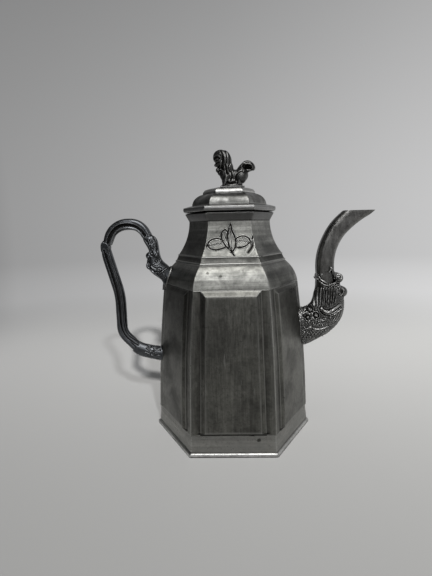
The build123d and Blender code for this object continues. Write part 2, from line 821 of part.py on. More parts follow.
# Saddle: the pad of solder on the arris round the head's root
saddle_skin = body_block(saddle_thickness)
with BuildPart() as handle_saddle:
    with BuildSketch(Plane.YZ):
        with Locations((0, head_root_height - 2)):
            Ellipse(saddle_half_width, saddle_half_height)
    extrude(amount=-base_corner)
    add(saddle_skin, mode=Mode.INTERSECT)
    add(soldered_body, mode=Mode.SUBTRACT)
    add(handle_arch.part, mode=Mode.SUBTRACT)
write(handle_saddle.part, "handle_saddle")
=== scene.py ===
import bpy
import bmesh
import math
import numpy as np
from mathutils import Matrix, Vector, noise


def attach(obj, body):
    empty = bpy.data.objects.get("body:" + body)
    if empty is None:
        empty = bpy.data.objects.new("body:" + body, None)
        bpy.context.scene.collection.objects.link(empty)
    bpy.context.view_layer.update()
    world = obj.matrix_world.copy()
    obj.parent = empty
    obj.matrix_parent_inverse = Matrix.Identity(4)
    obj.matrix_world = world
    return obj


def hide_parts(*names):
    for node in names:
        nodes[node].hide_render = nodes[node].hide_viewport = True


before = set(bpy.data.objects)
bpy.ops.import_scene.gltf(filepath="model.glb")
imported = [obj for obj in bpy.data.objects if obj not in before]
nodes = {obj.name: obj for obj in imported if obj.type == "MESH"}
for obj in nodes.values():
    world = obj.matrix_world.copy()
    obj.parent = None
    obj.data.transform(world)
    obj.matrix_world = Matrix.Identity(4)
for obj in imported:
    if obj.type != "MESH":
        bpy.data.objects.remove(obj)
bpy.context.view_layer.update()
millimetre = 0.001
inner = 0.3  # arris of the corners inside the pot, where nothing shows

# A hexagon's side: how far its middle is from the axis for a corner size, and half its turn
flat = math.cos(math.radians(30))
halfTurn = math.tan(math.radians(30))
sideNames = ["front", "front_right", "back_right", "back", "back_left", "front_left"]


def held(value, low=0.0, high=1.0):
    return max(low, min(high, value))


def turnTo(side):
    return Matrix.Rotation(math.radians(60 * side), 3, "Z")


def placed(name, data):
    # a new object in the scene
    made = bpy.data.objects.new(name, data)
    bpy.context.scene.collection.objects.link(made)
    return made


def gridSkin(bm, columns, rows, place):
    made = bmesh.ops.create_grid(bm, x_segments=columns, y_segments=rows, size=1.0)
    for vert in made["verts"]:
        vert.co = place(round((vert.co.x + 1) / 2 * columns), round((vert.co.y + 1) / 2 * rows))


# the slow unevenness of hand-rolled plate: lengths of its waves in millimetres, and the short waves' share
hand = {"slow": 27.0, "quick": 9.0, "quickShare": 0.35}


def handWork(point, depth):
    quick = noise.noise(point / hand["quick"] + Vector((7.0, 3.0, 5.0)))
    return depth * noise.noise(point / hand["slow"]) + depth * hand["quickShare"] * quick


def bowPoints(low, high, bow, steps):
    # points of a bowed line between two (distance, height) pairs
    (d0, z0), (d1, z1) = low, high
    length = math.hypot(d1 - d0, z1 - z0)
    across = ((z1 - z0) / length, (d0 - d1) / length)
    points = []
    for step in range(steps + 1):
        t = step / steps
        out = 4 * bow * t * (1 - t)
        points.append((d0 + (d1 - d0) * t + across[0] * out, z0 + (z1 - z0) * t + across[1] * out))
    return points


def softenedProfile(corners, steps=3):
    # a closed outline of (distance, height, radius, arris) with its corners rounded
    outline = []
    count = len(corners)
    for index, (d, z, radius, arris) in enumerate(corners):
        here = Vector((d, z))
        before = Vector(corners[index - 1][:2]) - here
        after = Vector(corners[(index + 1) % count][:2]) - here
        if radius <= 0 or before.length < 1e-6 or after.length < 1e-6:
            outline.append((d, z, arris))
            continue
        before.normalize()
        after.normalize()
        half = math.acos(held(before.dot(after), -1.0)) / 2
        if half > 1.5:
            # it hardly turns here
            outline.append((d, z, arris))
            continue
        reach = radius / math.tan(half)
        start = here + before * reach
        end = here + after * reach
        for step in range(steps + 1):
            t = step / steps
            point = start.lerp(here, t).lerp(here.lerp(end, t), t)
            outline.append((point.x, point.y, arris))
    return outline


def hexStrip(bm, profile, flatColumns, rise=None, arcSteps=3, dents=0.0, side=0):
    # the front side of a six-sided piece: a closed outline carried across to both mitres
    rows = len(profile)
    columns = len(flatColumns(profile[0][1], 1.0)) - 1 + 2 * arcSteps
    turn = turnTo(side)

    def place(column, row):
        distance, height, arris = profile[row % rows]
        straight = (distance - arris) * halfTurn
        inArc = max(arcSteps - column, column - (columns - arcSteps))
        if inArc > 0:
            angle = math.radians(30) * inArc / arcSteps
            x = math.copysign(straight + arris * math.sin(angle), column - arcSteps)
            y = distance - arris * (1 - math.cos(angle))
        else:
            x = flatColumns(height, straight)[column - arcSteps]
            y = distance + (rise(x, height) if rise and arris > inner else 0)
        point = Vector((x, -y, height))
        return point + Vector((x, -y, 0)).normalized() * handWork(turn @ point, dents)

    gridSkin(bm, columns, rows, place)
    bmesh.ops.remove_doubles(bm, verts=bm.verts, dist=1e-4)


def evenColumns(steps):
    def columnsAt(height, half):
        return [half * (2 * step / steps - 1) for step in range(steps + 1)]
    return columnsAt


def closeEnds(bm):
    edges = [edge for edge in bm.edges if edge.is_boundary]
    if edges:
        bmesh.ops.holes_fill(bm, edges=edges, sides=0)
    bmesh.ops.recalc_face_normals(bm, faces=bm.faces)


def carriedRound(bm):
    # copies the front side to the other five and welds them into a ring
    bmesh.ops.spin(
        bm, geom=bm.verts[:] + bm.edges[:] + bm.faces[:], cent=(0, 0, 0), axis=(0, 0, 1),
        dvec=(0, 0, 0), angle=math.radians(300), steps=5, use_merge=False, use_duplicate=True,
    )
    bmesh.ops.remove_doubles(bm, verts=bm.verts, dist=2e-3)
    bmesh.ops.recalc_face_normals(bm, faces=bm.faces)


def pointArrays(mesh):
    # where a mesh's points are, in millimetres, and their normals
    found = []
    for kind in ("co", "normal"):
        values = np.empty(len(mesh.vertices) * 3, np.float32)
        mesh.vertices.foreach_get(kind, values)
        found.append(values.reshape(-1, 3).astype(float))
    return found[0] / millimetre, found[1]


def writeRelief(mesh, passes=0, full=0.9):
    # how sharply each point stands out (worn) or lies in a hollow (darkened), for the materials
    co, normal = pointArrays(mesh)
    edges = np.empty(len(mesh.edges) * 2, np.int32)
    mesh.edges.foreach_get("vertices", edges)
    a, b = edges.reshape(-1, 2).T
    step = co[a] - co[b]
    square = np.maximum((step ** 2).sum(1), 1e-4)

    def gathered(atFirst, atSecond):
        total = np.zeros(len(co))
        np.add.at(total, a, atFirst)
        np.add.at(total, b, atSecond)
        return total

    ties = np.maximum(gathered(1, 1), 1)
    bend = gathered(2 * (normal[a] * step).sum(1) / square, -2 * (normal[b] * step).sum(1) / square) / ties
    for _ in range(passes):
        bend = 0.4 * bend + 0.6 * gathered(bend[b], bend[a]) / ties
    for name, values in (("wear", bend / full), ("grime", -bend / full)):
        layer = mesh.attributes.get(name) or mesh.attributes.new(name, "FLOAT", "POINT")
        layer.data.foreach_set("value", np.clip(values, 0, 1).astype(np.float32))


def finishedPiece(name, mesh, riding, slotName, material, replaced, smoothAngle=34, passes=0, full=0.9):
    # puts a made mesh in the scene in place of a node
    for polygon in mesh.polygons:
        polygon.use_smooth = True
    mesh.set_sharp_from_angle(angle=math.radians(smoothAngle))
    mesh.materials.clear()
    mesh.materials.append(material)
    writeRelief(mesh, passes, full)
    piece = placed(name, mesh)
    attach(piece, riding)
    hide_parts(replaced)


def meshOf(bm, name):
    bmesh.ops.scale(bm, verts=bm.verts, vec=(millimetre,) * 3)
    mesh = bpy.data.meshes.new(name)
    bm.to_mesh(mesh)
    bm.free()
    mesh.update()
    return mesh


def cadCopy(name):
    # a node's mesh in millimetres, with its loose triangles joined
    bm = bmesh.new()
    bm.from_mesh(nodes[name].data)
    bmesh.ops.scale(bm, verts=bm.verts, vec=(1 / millimetre,) * 3)
    bmesh.ops.remove_doubles(bm, verts=bm.verts, dist=2e-3)
    return bm


def remeshed(bm, name, voxel, smoothing):
    # everything in bm fused into one skin of even small faces
    mesh = meshOf(bm, name + "Rough")
    rough = placed(name + "Rough", mesh)
    fused = rough.modifiers.new("fused", "REMESH")
    fused.mode = "VOXEL"
    fused.voxel_size = voxel * millimetre
    fused.adaptivity = 0.0
    soft = rough.modifiers.new("soft", "SMOOTH")
    soft.factor = 0.5
    soft.iterations = smoothing
    graph = bpy.context.evaluated_depsgraph_get()
    done = bpy.data.meshes.new_from_object(rough.evaluated_get(graph), depsgraph=graph)
    done.name = name
    bpy.data.objects.remove(rough)
    bpy.data.meshes.remove(mesh)
    return done


def node(tree, kind, feeds=None, **settings):
    # a new node; feeds gives its inputs a value each or another node's output
    made = tree.nodes.new("ShaderNode" + kind)
    for key, value in settings.items():
        setattr(made, key, value)
    for key, value in (feeds or {}).items():
        if isinstance(value, bpy.types.NodeSocket):
            tree.links.new(value, made.inputs[key])
        elif value is not None:
            made.inputs[key].default_value = value
    return made


def mathNode(tree, operation, *values, clamp=False):
    feeds = dict(enumerate(values))
    return node(tree, "Math", feeds, operation=operation, use_clamp=clamp).outputs[0]


def vectorNode(tree, operation, first, second=None, scale=None):
    feeds = {0: first, 1: second, "Scale": scale}
    made = node(tree, "VectorMath", feeds, operation=operation)
    return made.outputs["Value" if operation == "LENGTH" else "Vector"]


def ramp(tree, value, low, high, toLow=0.0, toHigh=1.0):
    feeds = {"Value": value, "From Min": low, "From Max": high, "To Min": toLow, "To Max": toHigh}
    made = node(tree, "MapRange", feeds, clamp=True, interpolation_type="SMOOTHSTEP")
    return made.outputs["Result"]


def blendColour(tree, factor, first, second):
    feeds = {0: factor, 6: first, 7: second}
    return node(tree, "Mix", feeds, data_type="RGBA", clamp_factor=True).outputs[2]


def noiseValue(tree, vector, scale, detail=4.0, roughness=0.55, distortion=0.0):
    feeds = {"Vector": vector, "Scale": scale, "Detail": detail, "Roughness": roughness}
    feeds["Distortion"] = distortion
    return node(tree, "TexNoise", feeds).outputs["Fac"]


def shaderGroup(name, inputs, outputs):
    # an empty group, with the sockets it is given and the ones it has to fill
    tree = bpy.data.node_groups.new(name, "ShaderNodeTree")
    for label, value in inputs.items():
        kind = "Float" if isinstance(value, float) else "Color" if value and len(value) == 4 else "Vector"
        socket = tree.interface.new_socket(name=label, in_out="INPUT", socket_type=f"NodeSocket{kind}")
        if value is not None:
            socket.default_value = value
    for label in outputs:
        kind = "Color" if label == "Colour" else "Float"
        tree.interface.new_socket(name=label, in_out="OUTPUT", socket_type=f"NodeSocket{kind}")
    return tree, tree.nodes.new("NodeGroupInput").outputs, tree.nodes.new("NodeGroupOutput").inputs


# tarnished metal: slow clouds of tarnish, brushing, small pits and worn edges, and a dark tone in hollows and
# cuts that also carries painted shadow
tree, given, filled = shaderGroup(
    "tarnishedPewter",
    {
        "Vector": None, "Bare": (0.2, 0.2, 0.2, 1), "Tarnished": (0.1, 0.1, 0.1, 1), "Worn": (0.4, 0.4, 0.4, 1),
        "Brush": (900.0, 900.0, 16.0), "Bands": (40.0, 40.0, 40.0), "Banding": 0.2, "Clouds": 38.0,
        "Tarnish": 0.5, "Wear": 0.0, "Grime": 0.0,
    },
    ["Colour", "Roughness", "Height"],
)
where = given["Vector"]
clouds = noiseValue(tree, where, given["Clouds"], 6.0, 0.62, 0.6)
mottle = noiseValue(tree, where, 420.0, 5.0, 0.6)
brushed = noiseValue(tree, vectorNode(tree, "MULTIPLY", where, given["Brush"]), 1.0, 3.0, 0.7)
banded = noiseValue(tree, vectorNode(tree, "MULTIPLY", where, given["Bands"]), 1.0, 2.0, 0.5)
pitted = ramp(tree, noiseValue(tree, where, 900.0, 2.0, 0.5), 0.62, 0.72)
tarnishMore = mathNode(tree, "SUBTRACT", given["Tarnish"], 0.5)
cloudMask = mathNode(tree, "ADD", ramp(tree, clouds, 0.36, 0.66), tarnishMore, clamp=True)
tone = blendColour(tree, cloudMask, given["Bare"], given["Tarnished"])
tone = blendColour(tree, ramp(tree, mottle, 0.35, 0.75, 0.0, 0.35), tone, (0.02, 0.02, 0.018, 1))
banded = mathNode(tree, "MULTIPLY_ADD", ramp(tree, banded, 0.34, 0.66, -1.0, 1.0), given["Banding"], 1.0)
streak = mathNode(tree, "MULTIPLY", ramp(tree, brushed, 0.35, 0.7, 0.82, 1.16), banded)
tone = vectorNode(tree, "SCALE", tone, scale=streak)
wearMask = mathNode(tree, "MULTIPLY", given["Wear"], ramp(tree, clouds, 0.25, 0.6, 0.35, 1.0), clamp=True)
tone = blendColour(tree, wearMask, tone, given["Worn"])
# one dark tone for hollows, cut lines and the painted shadow under the walls' fields
grimeAndShadeMask = mathNode(tree, "MULTIPLY", given["Grime"], 0.9, clamp=True)
tone = blendColour(tree, grimeAndShadeMask, tone, (0.012, 0.011, 0.010, 1))
tone = blendColour(tree, mathNode(tree, "MULTIPLY", pitted, 0.4), tone, (0.02, 0.018, 0.016, 1))
tree.links.new(tone, filled["Colour"])
dull = ramp(tree, brushed, 0.3, 0.75, -0.04, 0.05)
rough = mathNode(tree, "ADD", ramp(tree, clouds, 0.3, 0.7, 0.30, 0.46), dull)
rough = mathNode(tree, "ADD", rough, mathNode(tree, "MULTIPLY", given["Grime"], 0.3))
rough = mathNode(tree, "SUBTRACT", rough, mathNode(tree, "MULTIPLY", wearMask, 0.10), clamp=True)
tree.links.new(rough, filled["Roughness"])
relief = mathNode(tree, "SUBTRACT", mathNode(tree, "ADD", brushed, mottle), pitted)
tree.links.new(mathNode(tree, "MULTIPLY", relief, 0.5), filled["Height"])
tarnish = tree

# fine bright scratches that run one way
scratches, given, filled = shaderGroup(
    "fineScratches", {"Vector": None, "Run": (30.0, 30.0, 500.0), "Amount": 0.5}, ["Mask"]
)
stretched = vectorNode(scratches, "MULTIPLY", given["Vector"], given["Run"])
hairs = ramp(scratches, noiseValue(scratches, stretched, 1.0, 1.0, 0.4, 0.3), 0.66, 0.72)
patches = ramp(scratches, noiseValue(scratches, given["Vector"], 55.0, 2.0), 0.5, 0.62)
scratched = mathNode(scratches, "MULTIPLY", hairs, patches)
scratches.links.new(mathNode(scratches, "MULTIPLY", scratched, given["Amount"], clamp=True), filled["Mask"])

# one stain with a ragged edge
stain, given, filled = shaderGroup(
    "raggedStain", {"Vector": None, "Place": None, "Squeeze": (1, 1, 1), "Reach": 0.003}, ["Mask"]
)
away = vectorNode(stain, "SUBTRACT", given["Vector"], given["Place"])
distance = vectorNode(stain, "LENGTH", vectorNode(stain, "MULTIPLY", away, given["Squeeze"]))
ragged = mathNode(stain, "MULTIPLY_ADD", noiseValue(stain, given["Vector"], 600.0, 4.0, 0.6), 1.3, 1.0)
nearness = mathNode(stain, "SUBTRACT", ragged, mathNode(stain, "DIVIDE", distance, given["Reach"]))
stain.links.new(ramp(stain, nearness, 0.55, 0.95), filled["Mask"])

# a soft dark line round the pot at one height: a joint where two plates meet, and in some places painted shade
# at a gap, under a lip or at the foot
seamAndShade, given, filled = shaderGroup("seamAndShadeLine", {"Vector": None, "Height": 0.0, "Reach": 0.0005}, ["Mask"])
lineHeight = node(seamAndShade, "SeparateXYZ", {0: given["Vector"]}).outputs["Z"]
fromLine = mathNode(seamAndShade, "ABSOLUTE", mathNode(seamAndShade, "SUBTRACT", lineHeight, given["Height"]))
fromLine = mathNode(seamAndShade, "DIVIDE", fromLine, given["Reach"])
seamAndShade.links.new(ramp(seamAndShade, fromLine, 0.35, 1.0, 1.0, 0.0), filled["Mask"])

# what a metal has where its own line says nothing else; bands, clouds and brushing count waves per metre
usual = {
    "Bands": (7.0, 7.0, 210.0), "Banding": 0.12, "Clouds": 38.0, "Tarnish": 0.5, "edgeWear": 0.8, "grime": 0.8,
    "raised": 0.0, "sunk": 0.0, "scratches": 0.25, "scratchRun": (40.0, 40.0, 700.0), "bump": 0.25,
    "stainTone": (0.012, 0.011, 0.009, 1), "seamTone": (0.010, 0.010, 0.009, 1), "bumpDepth": 0.0001,
}


def pewter(name, bare, tarnished, worn, brush, stains=(), seamsAndShade=(), **changes):
    look = {**usual, "Bare": (*bare, 1), "Tarnished": (*tarnished, 1), "Worn": (*worn, 1), "Brush": brush}
    look.update(changes)
    material = bpy.data.materials.new(name)
    material.use_nodes = True
    tree = material.node_tree
    place = node(tree, "TexCoord").outputs["Object"]
    chaseAndShadow = node(tree, "Attribute", attribute_name="chaseAndShadow").outputs["Fac"]
    # the keys with a capital are inputs of the group
    feeds = {key: value for key, value in look.items() if key[0].isupper()}
    # sunk points darken the metal: chased cuts, and on the walls the painted shadow under each field
    wearGrimeAndShade = (("Wear", look["edgeWear"], look["raised"]), ("Grime", look["grime"], -look["sunk"]))
    for label, strength, cut in wearGrimeAndShade:
        layer = node(tree, "Attribute", attribute_name=label.lower()).outputs["Fac"]
        cutShare = mathNode(tree, "MULTIPLY", chaseAndShadow, cut, clamp=True)
        feeds[label] = mathNode(tree, "MULTIPLY_ADD", layer, strength, cutShare, clamp=True)
    surface = node(tree, "Group", {"Vector": place, **feeds}, node_tree=tarnish).outputs
    # scratches first, then each stain at (x, y, z) and each dark line at a height, in millimetres; the lines
    # mark joints, and some are painted shade at gaps and lips
    marks = [(scratches, {"Run": look["scratchRun"], "Amount": look["scratches"]}, 1.0, look["Worn"])]
    for spot, squeeze, reach, strength in stains:
        feeds = {"Place": Vector(spot) * millimetre, "Squeeze": squeeze, "Reach": reach * millimetre}
        marks.append((stain, feeds, strength, look["stainTone"]))
    for height, reach, strength in seamsAndShade:
        feeds = {"Height": height * millimetre, "Reach": reach * millimetre}
        marks.append((seamAndShade, feeds, strength, look["seamTone"]))
    colour = surface["Colour"]
    for group, feeds, strength, tint in marks:
        mask = node(tree, "Group", {"Vector": place, **feeds}, node_tree=group).outputs["Mask"]
        colour = blendColour(tree, mathNode(tree, "MULTIPLY", mask, strength), colour, tint)
    feeds = {"Strength": look["bump"], "Distance": look["bumpDepth"], "Height": surface["Height"]}
    bump = node(tree, "Bump", feeds).outputs["Normal"]
    shader = tree.nodes["Principled BSDF"].inputs
    shader["Metallic"].default_value = 1.0
    for label, output in (("Base Color", colour), ("Roughness", surface["Roughness"]), ("Normal", bump)):
        tree.links.new(output, shader[label])
    return material


upright = (900.0, 900.0, 14.0)
level = (26.0, 26.0, 1100.0)
# its sunk darkening is painted shadow in the band under each raised field
wallPewter = pewter(
    "wallPewter", (0.150, 0.149, 0.135), (0.090, 0.089, 0.081), (0.40, 0.40, 0.38), upright,
    Bands=(60.0, 60.0, 9.0), Clouds=46.0, edgeWear=1.3, sunk=5.0, scratchRun=(650.0, 650.0, 30.0),
    stains=[((37.1, -44.4, 41.9), (1, 1, 1), 2.2, 0.8), ((13.7, -54.5, 15.6), (1, 1, 1.6), 2.4, 0.9)],
    seamsAndShade=[(16.0, 0.5, 0.35)],
)
neckPewter = pewter(
    "neckPewter", (0.255, 0.256, 0.238), (0.125, 0.126, 0.118), (0.50, 0.50, 0.48), level,
    Banding=0.26, Tarnish=0.45, sunk=6.0,
    stains=[((-16.7, -43.1, 136.5), (1, 1, 1), 1.3, 0.7), ((-7.3, -44.6, 134.3), (0.7, 1, 1.3), 1.2, 0.7)],
    # dark lines: at 174.4 the joint with painted shade under the mouth's lip, at 152.0 a broad band of painted
    # shade over the lower neck, at 141.2 the joint at the collar
    seamsAndShade=[(174.4, 0.8, 0.85), (152.0, 6.5, 0.34), (141.2, 0.5, 0.4)],
)
lidPewter = pewter(
    "lidPewter", (0.23, 0.23, 0.222), (0.070, 0.070, 0.066), (0.50, 0.50, 0.48), level,
    Banding=0.25, Clouds=75.0, Tarnish=0.6, seamsAndShade=[(195.8, 0.5, 0.8)],
)
capPewter = pewter(
    "capPewter", (0.47, 0.47, 0.46), (0.26, 0.26, 0.25), (0.55, 0.55, 0.53), level,
    Banding=0.1, Tarnish=0.4, seamsAndShade=[(195.8, 0.5, 0.8), (200.4, 0.7, 0.5)],
)
rimPewter = pewter(
    "rimPewter", (0.20, 0.20, 0.20), (0.115, 0.115, 0.115), (0.40, 0.40, 0.39), level,
    # the dark line at 181.1 is painted shadow in the gap between the lid's rim and the mouth
    Tarnish=0.55, edgeWear=1.0, seamsAndShade=[(181.1, 0.9, 1.0)],
)
mouthPewter = pewter(
    "mouthPewter", (0.10, 0.10, 0.10), (0.055, 0.055, 0.055), (0.30, 0.30, 0.29), level,
    # painted shade: at 181.1 the shadow in the gap under the lid, at 174.3 the shade under the ring's lower
    # edge
    Tarnish=0.6, edgeWear=0.5, seamsAndShade=[(181.1, 0.9, 1.0), (174.3, 0.6, 0.8)],
)
footPewter = pewter(
    "footPewter", (0.235, 0.232, 0.214), (0.140, 0.138, 0.126), (0.50, 0.50, 0.48), level,
    Banding=0.22, Clouds=60.0, stains=[((18.8, -54.7, 12.6), (1, 1, 1), 1.6, 0.8)], seamsAndShade=[(3.3, 0.6, 0.5)],
)
basePewter = pewter(
    "basePewter", (0.60, 0.60, 0.585), (0.34, 0.34, 0.33), (0.70, 0.70, 0.68), level,
    # the dark line at 0.3 is painted contact shadow along the base plate's bottom edge
    Banding=0.1, Clouds=60.0, Tarnish=0.3, seamsAndShade=[(0.3, 0.9, 0.9)],
)
finialPewter = pewter(
    "finialPewter", (0.080, 0.080, 0.079), (0.035, 0.035, 0.035), (0.32, 0.32, 0.31), (300.0, 300.0, 300.0),
    Clouds=120.0, bump=0.12, scratches=0.0, edgeWear=0.45, grime=0.9, raised=0.25, sunk=2.0,
)
castPewter = pewter(
    "castPewter", (0.105, 0.105, 0.103), (0.040, 0.040, 0.040), (0.50, 0.50, 0.49), (400.0, 400.0, 400.0),
    Clouds=140.0, bump=0.2, scratches=0.1, grime=1.0, edgeWear=0.7, raised=0.75, sunk=2.6,
)
handlePewter = pewter(
    "handlePewter", (0.140, 0.147, 0.157), (0.066, 0.071, 0.078), (0.36, 0.37, 0.38), (160.0, 300.0, 40.0),
    grime=1.0, raised=0.5, sunk=1.6, edgeWear=0.3, bump=0.12, scratches=0.1,
)
spoutPewter = pewter(
    "spoutPewter", (0.185, 0.183, 0.177), (0.122, 0.120, 0.115), (0.30, 0.30, 0.29), (300.0, 400.0, 60.0),
    edgeWear=0.08, grime=0.3, bump=0.15,
)
solderPewter = pewter(
    "solderPewter", (0.17, 0.17, 0.162), (0.08, 0.08, 0.076), (0.36, 0.36, 0.35), (300.0, 300.0, 300.0),
    edgeWear=0.4,
)
insidePewter = pewter(
    "insidePewter", (0.13, 0.125, 0.115), (0.06, 0.058, 0.052), (0.2, 0.2, 0.19), level, Tarnish=0.7
)
print("pewter mixed")

# heights, corner distances from the axis, bows and arrises, in millimetres
body = {
    "wallFoot": 16.0, "wallTop": 124.5, "wallFootCorner": 63.7, "wallTopCorner": 55.7, "wallBow": 1.15,
    "shoulderTop": 141.8, "shoulderTopCorner": 45.4, "shoulderBow": 1.7, "shoulderArris": 1.2,
    "collarTop": 148.2, "collarTopCorner": 42.3, "neckTop": 174.3, "neckTopCorner": 33.0, "neckBow": -1.95,
    "neckArris": 1.0, "sheet": 2.0, "arris": 1.4, "edge": 0.22, "dents": 0.10, "shoulderDents": 0.14,
}
wallFoot = (body["wallFootCorner"] * flat, body["wallFoot"])
wallTop = (body["wallTopCorner"] * flat, body["wallTop"])
shoulderTop = (body["shoulderTopCorner"] * flat, body["shoulderTop"])
collarTop = (body["collarTopCorner"] * flat, body["collarTop"])
neckTop = (body["neckTopCorner"] * flat, body["neckTop"])


def within(point, sheet=body["sheet"]):
    # the point behind an outside one, on the sheet's inside
    return (point[0] - sheet, point[1])


def plateProfile(low, high, bow, steps, arris):
    # closed outline of a bowed plate: up its outside and down its inside
    outer = bowPoints(low, high, bow, steps)
    behind = bowPoints(within(low), within(high), bow, max(4, steps // 4))
    corners = [(*outer[0], body["edge"], arris)] + [(*point, 0, arris) for point in outer[1:-1]]
    corners += [(*outer[-1], body["edge"], arris)] + [(*point, 0, inner) for point in reversed(behind)]
    return softenedProfile(corners)


# the raised field of a wall: a small upright lip, a bevel and a flat crown, and below its foot a band of
# painted shadow
field = {
    "foot": 17.2, "top": 124.2, "footHalf": 24.75, "topHalf": 22.15, "rise": 2.15, "lip": 0.25,
    "lipWidth": 0.25, "bevel": 4.0, "lowBevel": 1.4, "easing": 0.5, "crownColumns": 24, "crownRows": 60,
    "paintedShadow": -0.16, "shadowFoot": -0.3, "shadowTop": 1.6,
}
bevelOffsets = [0.0, 0.25, 1.2, 2.1, 3.0, 3.55, 4.0, 4.5]
lowOffsets = [0.0, 0.25, 0.6, 1.0, 1.4, 1.9]


def bevelRise(inside, width):
    if inside <= 0:
        return 0.0
    if inside < field["lipWidth"]:
        return field["lip"] * inside / field["lipWidth"]
    lean = (field["rise"] - field["lip"]) / (width - field["lipWidth"])
    # eases the last of the slope into the crown
    past = (inside - width) / field["easing"]
    if past < -1:
        return field["lip"] + lean * (inside - field["lipWidth"])
    if past > 1:
        return field["rise"]
    return field["rise"] - lean * field["easing"] * (1 - past) ** 2 / 4


def fieldHalf(height):
    t = (height - field["foot"]) / (field["top"] - field["foot"])
    return field["footHalf"] + (field["topHalf"] - field["footHalf"]) * t


def fieldRise(x, height):
    sideways = bevelRise(fieldHalf(height) - abs(x), field["bevel"])
    above = bevelRise(field["top"] - height, field["bevel"])
    below = bevelRise(height - field["foot"], field["lowBevel"])
    return min(sideways, above, below)


def wallColumns(height, half):
    # columns that follow the field's edges up the wall
    edge = min(fieldHalf(height), half - 0.5)
    left = [-half, -(half + edge) / 2] + [-edge + offset for offset in bevelOffsets]
    steps = field["crownColumns"]
    middle = [-left[-1] * (2 * step / steps - 1) for step in range(1, steps)]
    return left + middle + [-x for x in reversed(left)]


def wallProfile():
    heights = [body["wallFoot"]] + [field["foot"] + offset for offset in lowOffsets]
    topRows = [field["top"] - offset for offset in reversed(bevelOffsets)]
    first, span, rows = heights[-1], topRows[0] - heights[-1], field["crownRows"]
    heights += [first + span * row / rows for row in range(1, rows)] + topRows + [body["wallTop"]]
    corners = []
    for height in heights:
        t = (height - wallFoot[1]) / (wallTop[1] - wallFoot[1])
        distance = wallFoot[0] + (wallTop[0] - wallFoot[0]) * t + 4 * body["wallBow"] * t * (1 - t)
        edge = body["edge"] if height in (heights[0], heights[-1]) else 0
        corners.append((distance, height, edge, body["arris"]))
    behind = bowPoints(within(wallTop), within(wallFoot), -body["wallBow"], 10)
    return softenedProfile(corners + [(*point, 0, inner) for point in behind])


def curvePoints(points, gap=0.25):
    # even points along a smooth line through a few
    knots = [Vector(point) for point in points]
    knots = [knots[0] * 2 - knots[1]] + knots + [knots[-1] * 2 - knots[-2]]
    line = []
    for before, start, stop, after in zip(knots, knots[1:], knots[2:], knots[3:]):
        steps = max(1, round((stop - start).length / gap))
        for step in range(steps):
            t = step / steps
            line.append(
                0.5 * (2 * start + (stop - before) * t + (2 * before - 5 * start + 4 * stop - after) * t * t
                       + (3 * start - before - 3 * stop + after) * t ** 3)
            )
    line.append(knots[-2])
    return line


# how a cut fades where the skin turns away from the viewer, and the gutter pushed up beside it
chasing = {"turnedLeast": 0.1, "turnedFade": 0.45, "gutterStart": 0.8, "gutterWidth": 1.0, "gutter": -0.45}


def moved(mesh, co, normal, move):
    # moves the points along their normals and adds how far to the chased-depth attribute, for the materials; on
    # the walls that attribute also holds painted shadow
    mesh.vertices.foreach_set("co", ((co + normal * move[:, None]) * millimetre).ravel())
    mesh.update()
    layer = mesh.attributes.get("chaseAndShadow") or mesh.attributes.new("chaseAndShadow", "FLOAT", "POINT")
    before = np.empty(len(move), np.float32)
    layer.data.foreach_get("value", before)
    layer.data.foreach_set("value", (before + move).astype(np.float32))


def chased(mesh, lines, frontOnly=False):
    # raises or sinks lines drawn in the front view, on both broad sides of a casting
    co, normal = pointArrays(mesh)
    move = np.zeros(len(co))
    facing = np.clip((np.abs(normal[:, 1]) - chasing["turnedLeast"]) / chasing["turnedFade"], 0, 1)
    if frontOnly:
        facing[normal[:, 1] >= 0] = 0
    for points, width, height in lines:
        line = np.array([tuple(point) for point in curvePoints(points)])
        (lowX, lowZ), (highX, highZ) = line.min(0) - 2 * width, line.max(0) + 2 * width
        x, z = co[:, 0], co[:, 2]
        near = np.nonzero((x > lowX) & (x < highX) & (z > lowZ) & (z < highZ) & (facing > 0))[0]
        if not len(near):
            continue
        places = co[near][:, (0, 2)]
        gap = np.full(len(near), 1e9)
        for begin in range(0, len(line), 64):
            stretch = line[begin:begin + 64]
            gap = np.minimum(gap, np.sqrt(((places[:, None] - stretch[None]) ** 2).sum(2)).min(1))
        share = gap / width
        swell = np.where(share < 1, (1 - share ** 2) ** 2, 0)
        past = share - chasing["gutterStart"]
        beside = (past > 0) & (past < chasing["gutterWidth"])
        gutter = np.where(beside, chasing["gutter"] * np.sin(np.pi * past) ** 2, 0)
        move[near] += height * (swell + gutter) * facing[near]
    moved(mesh, co, normal, move)


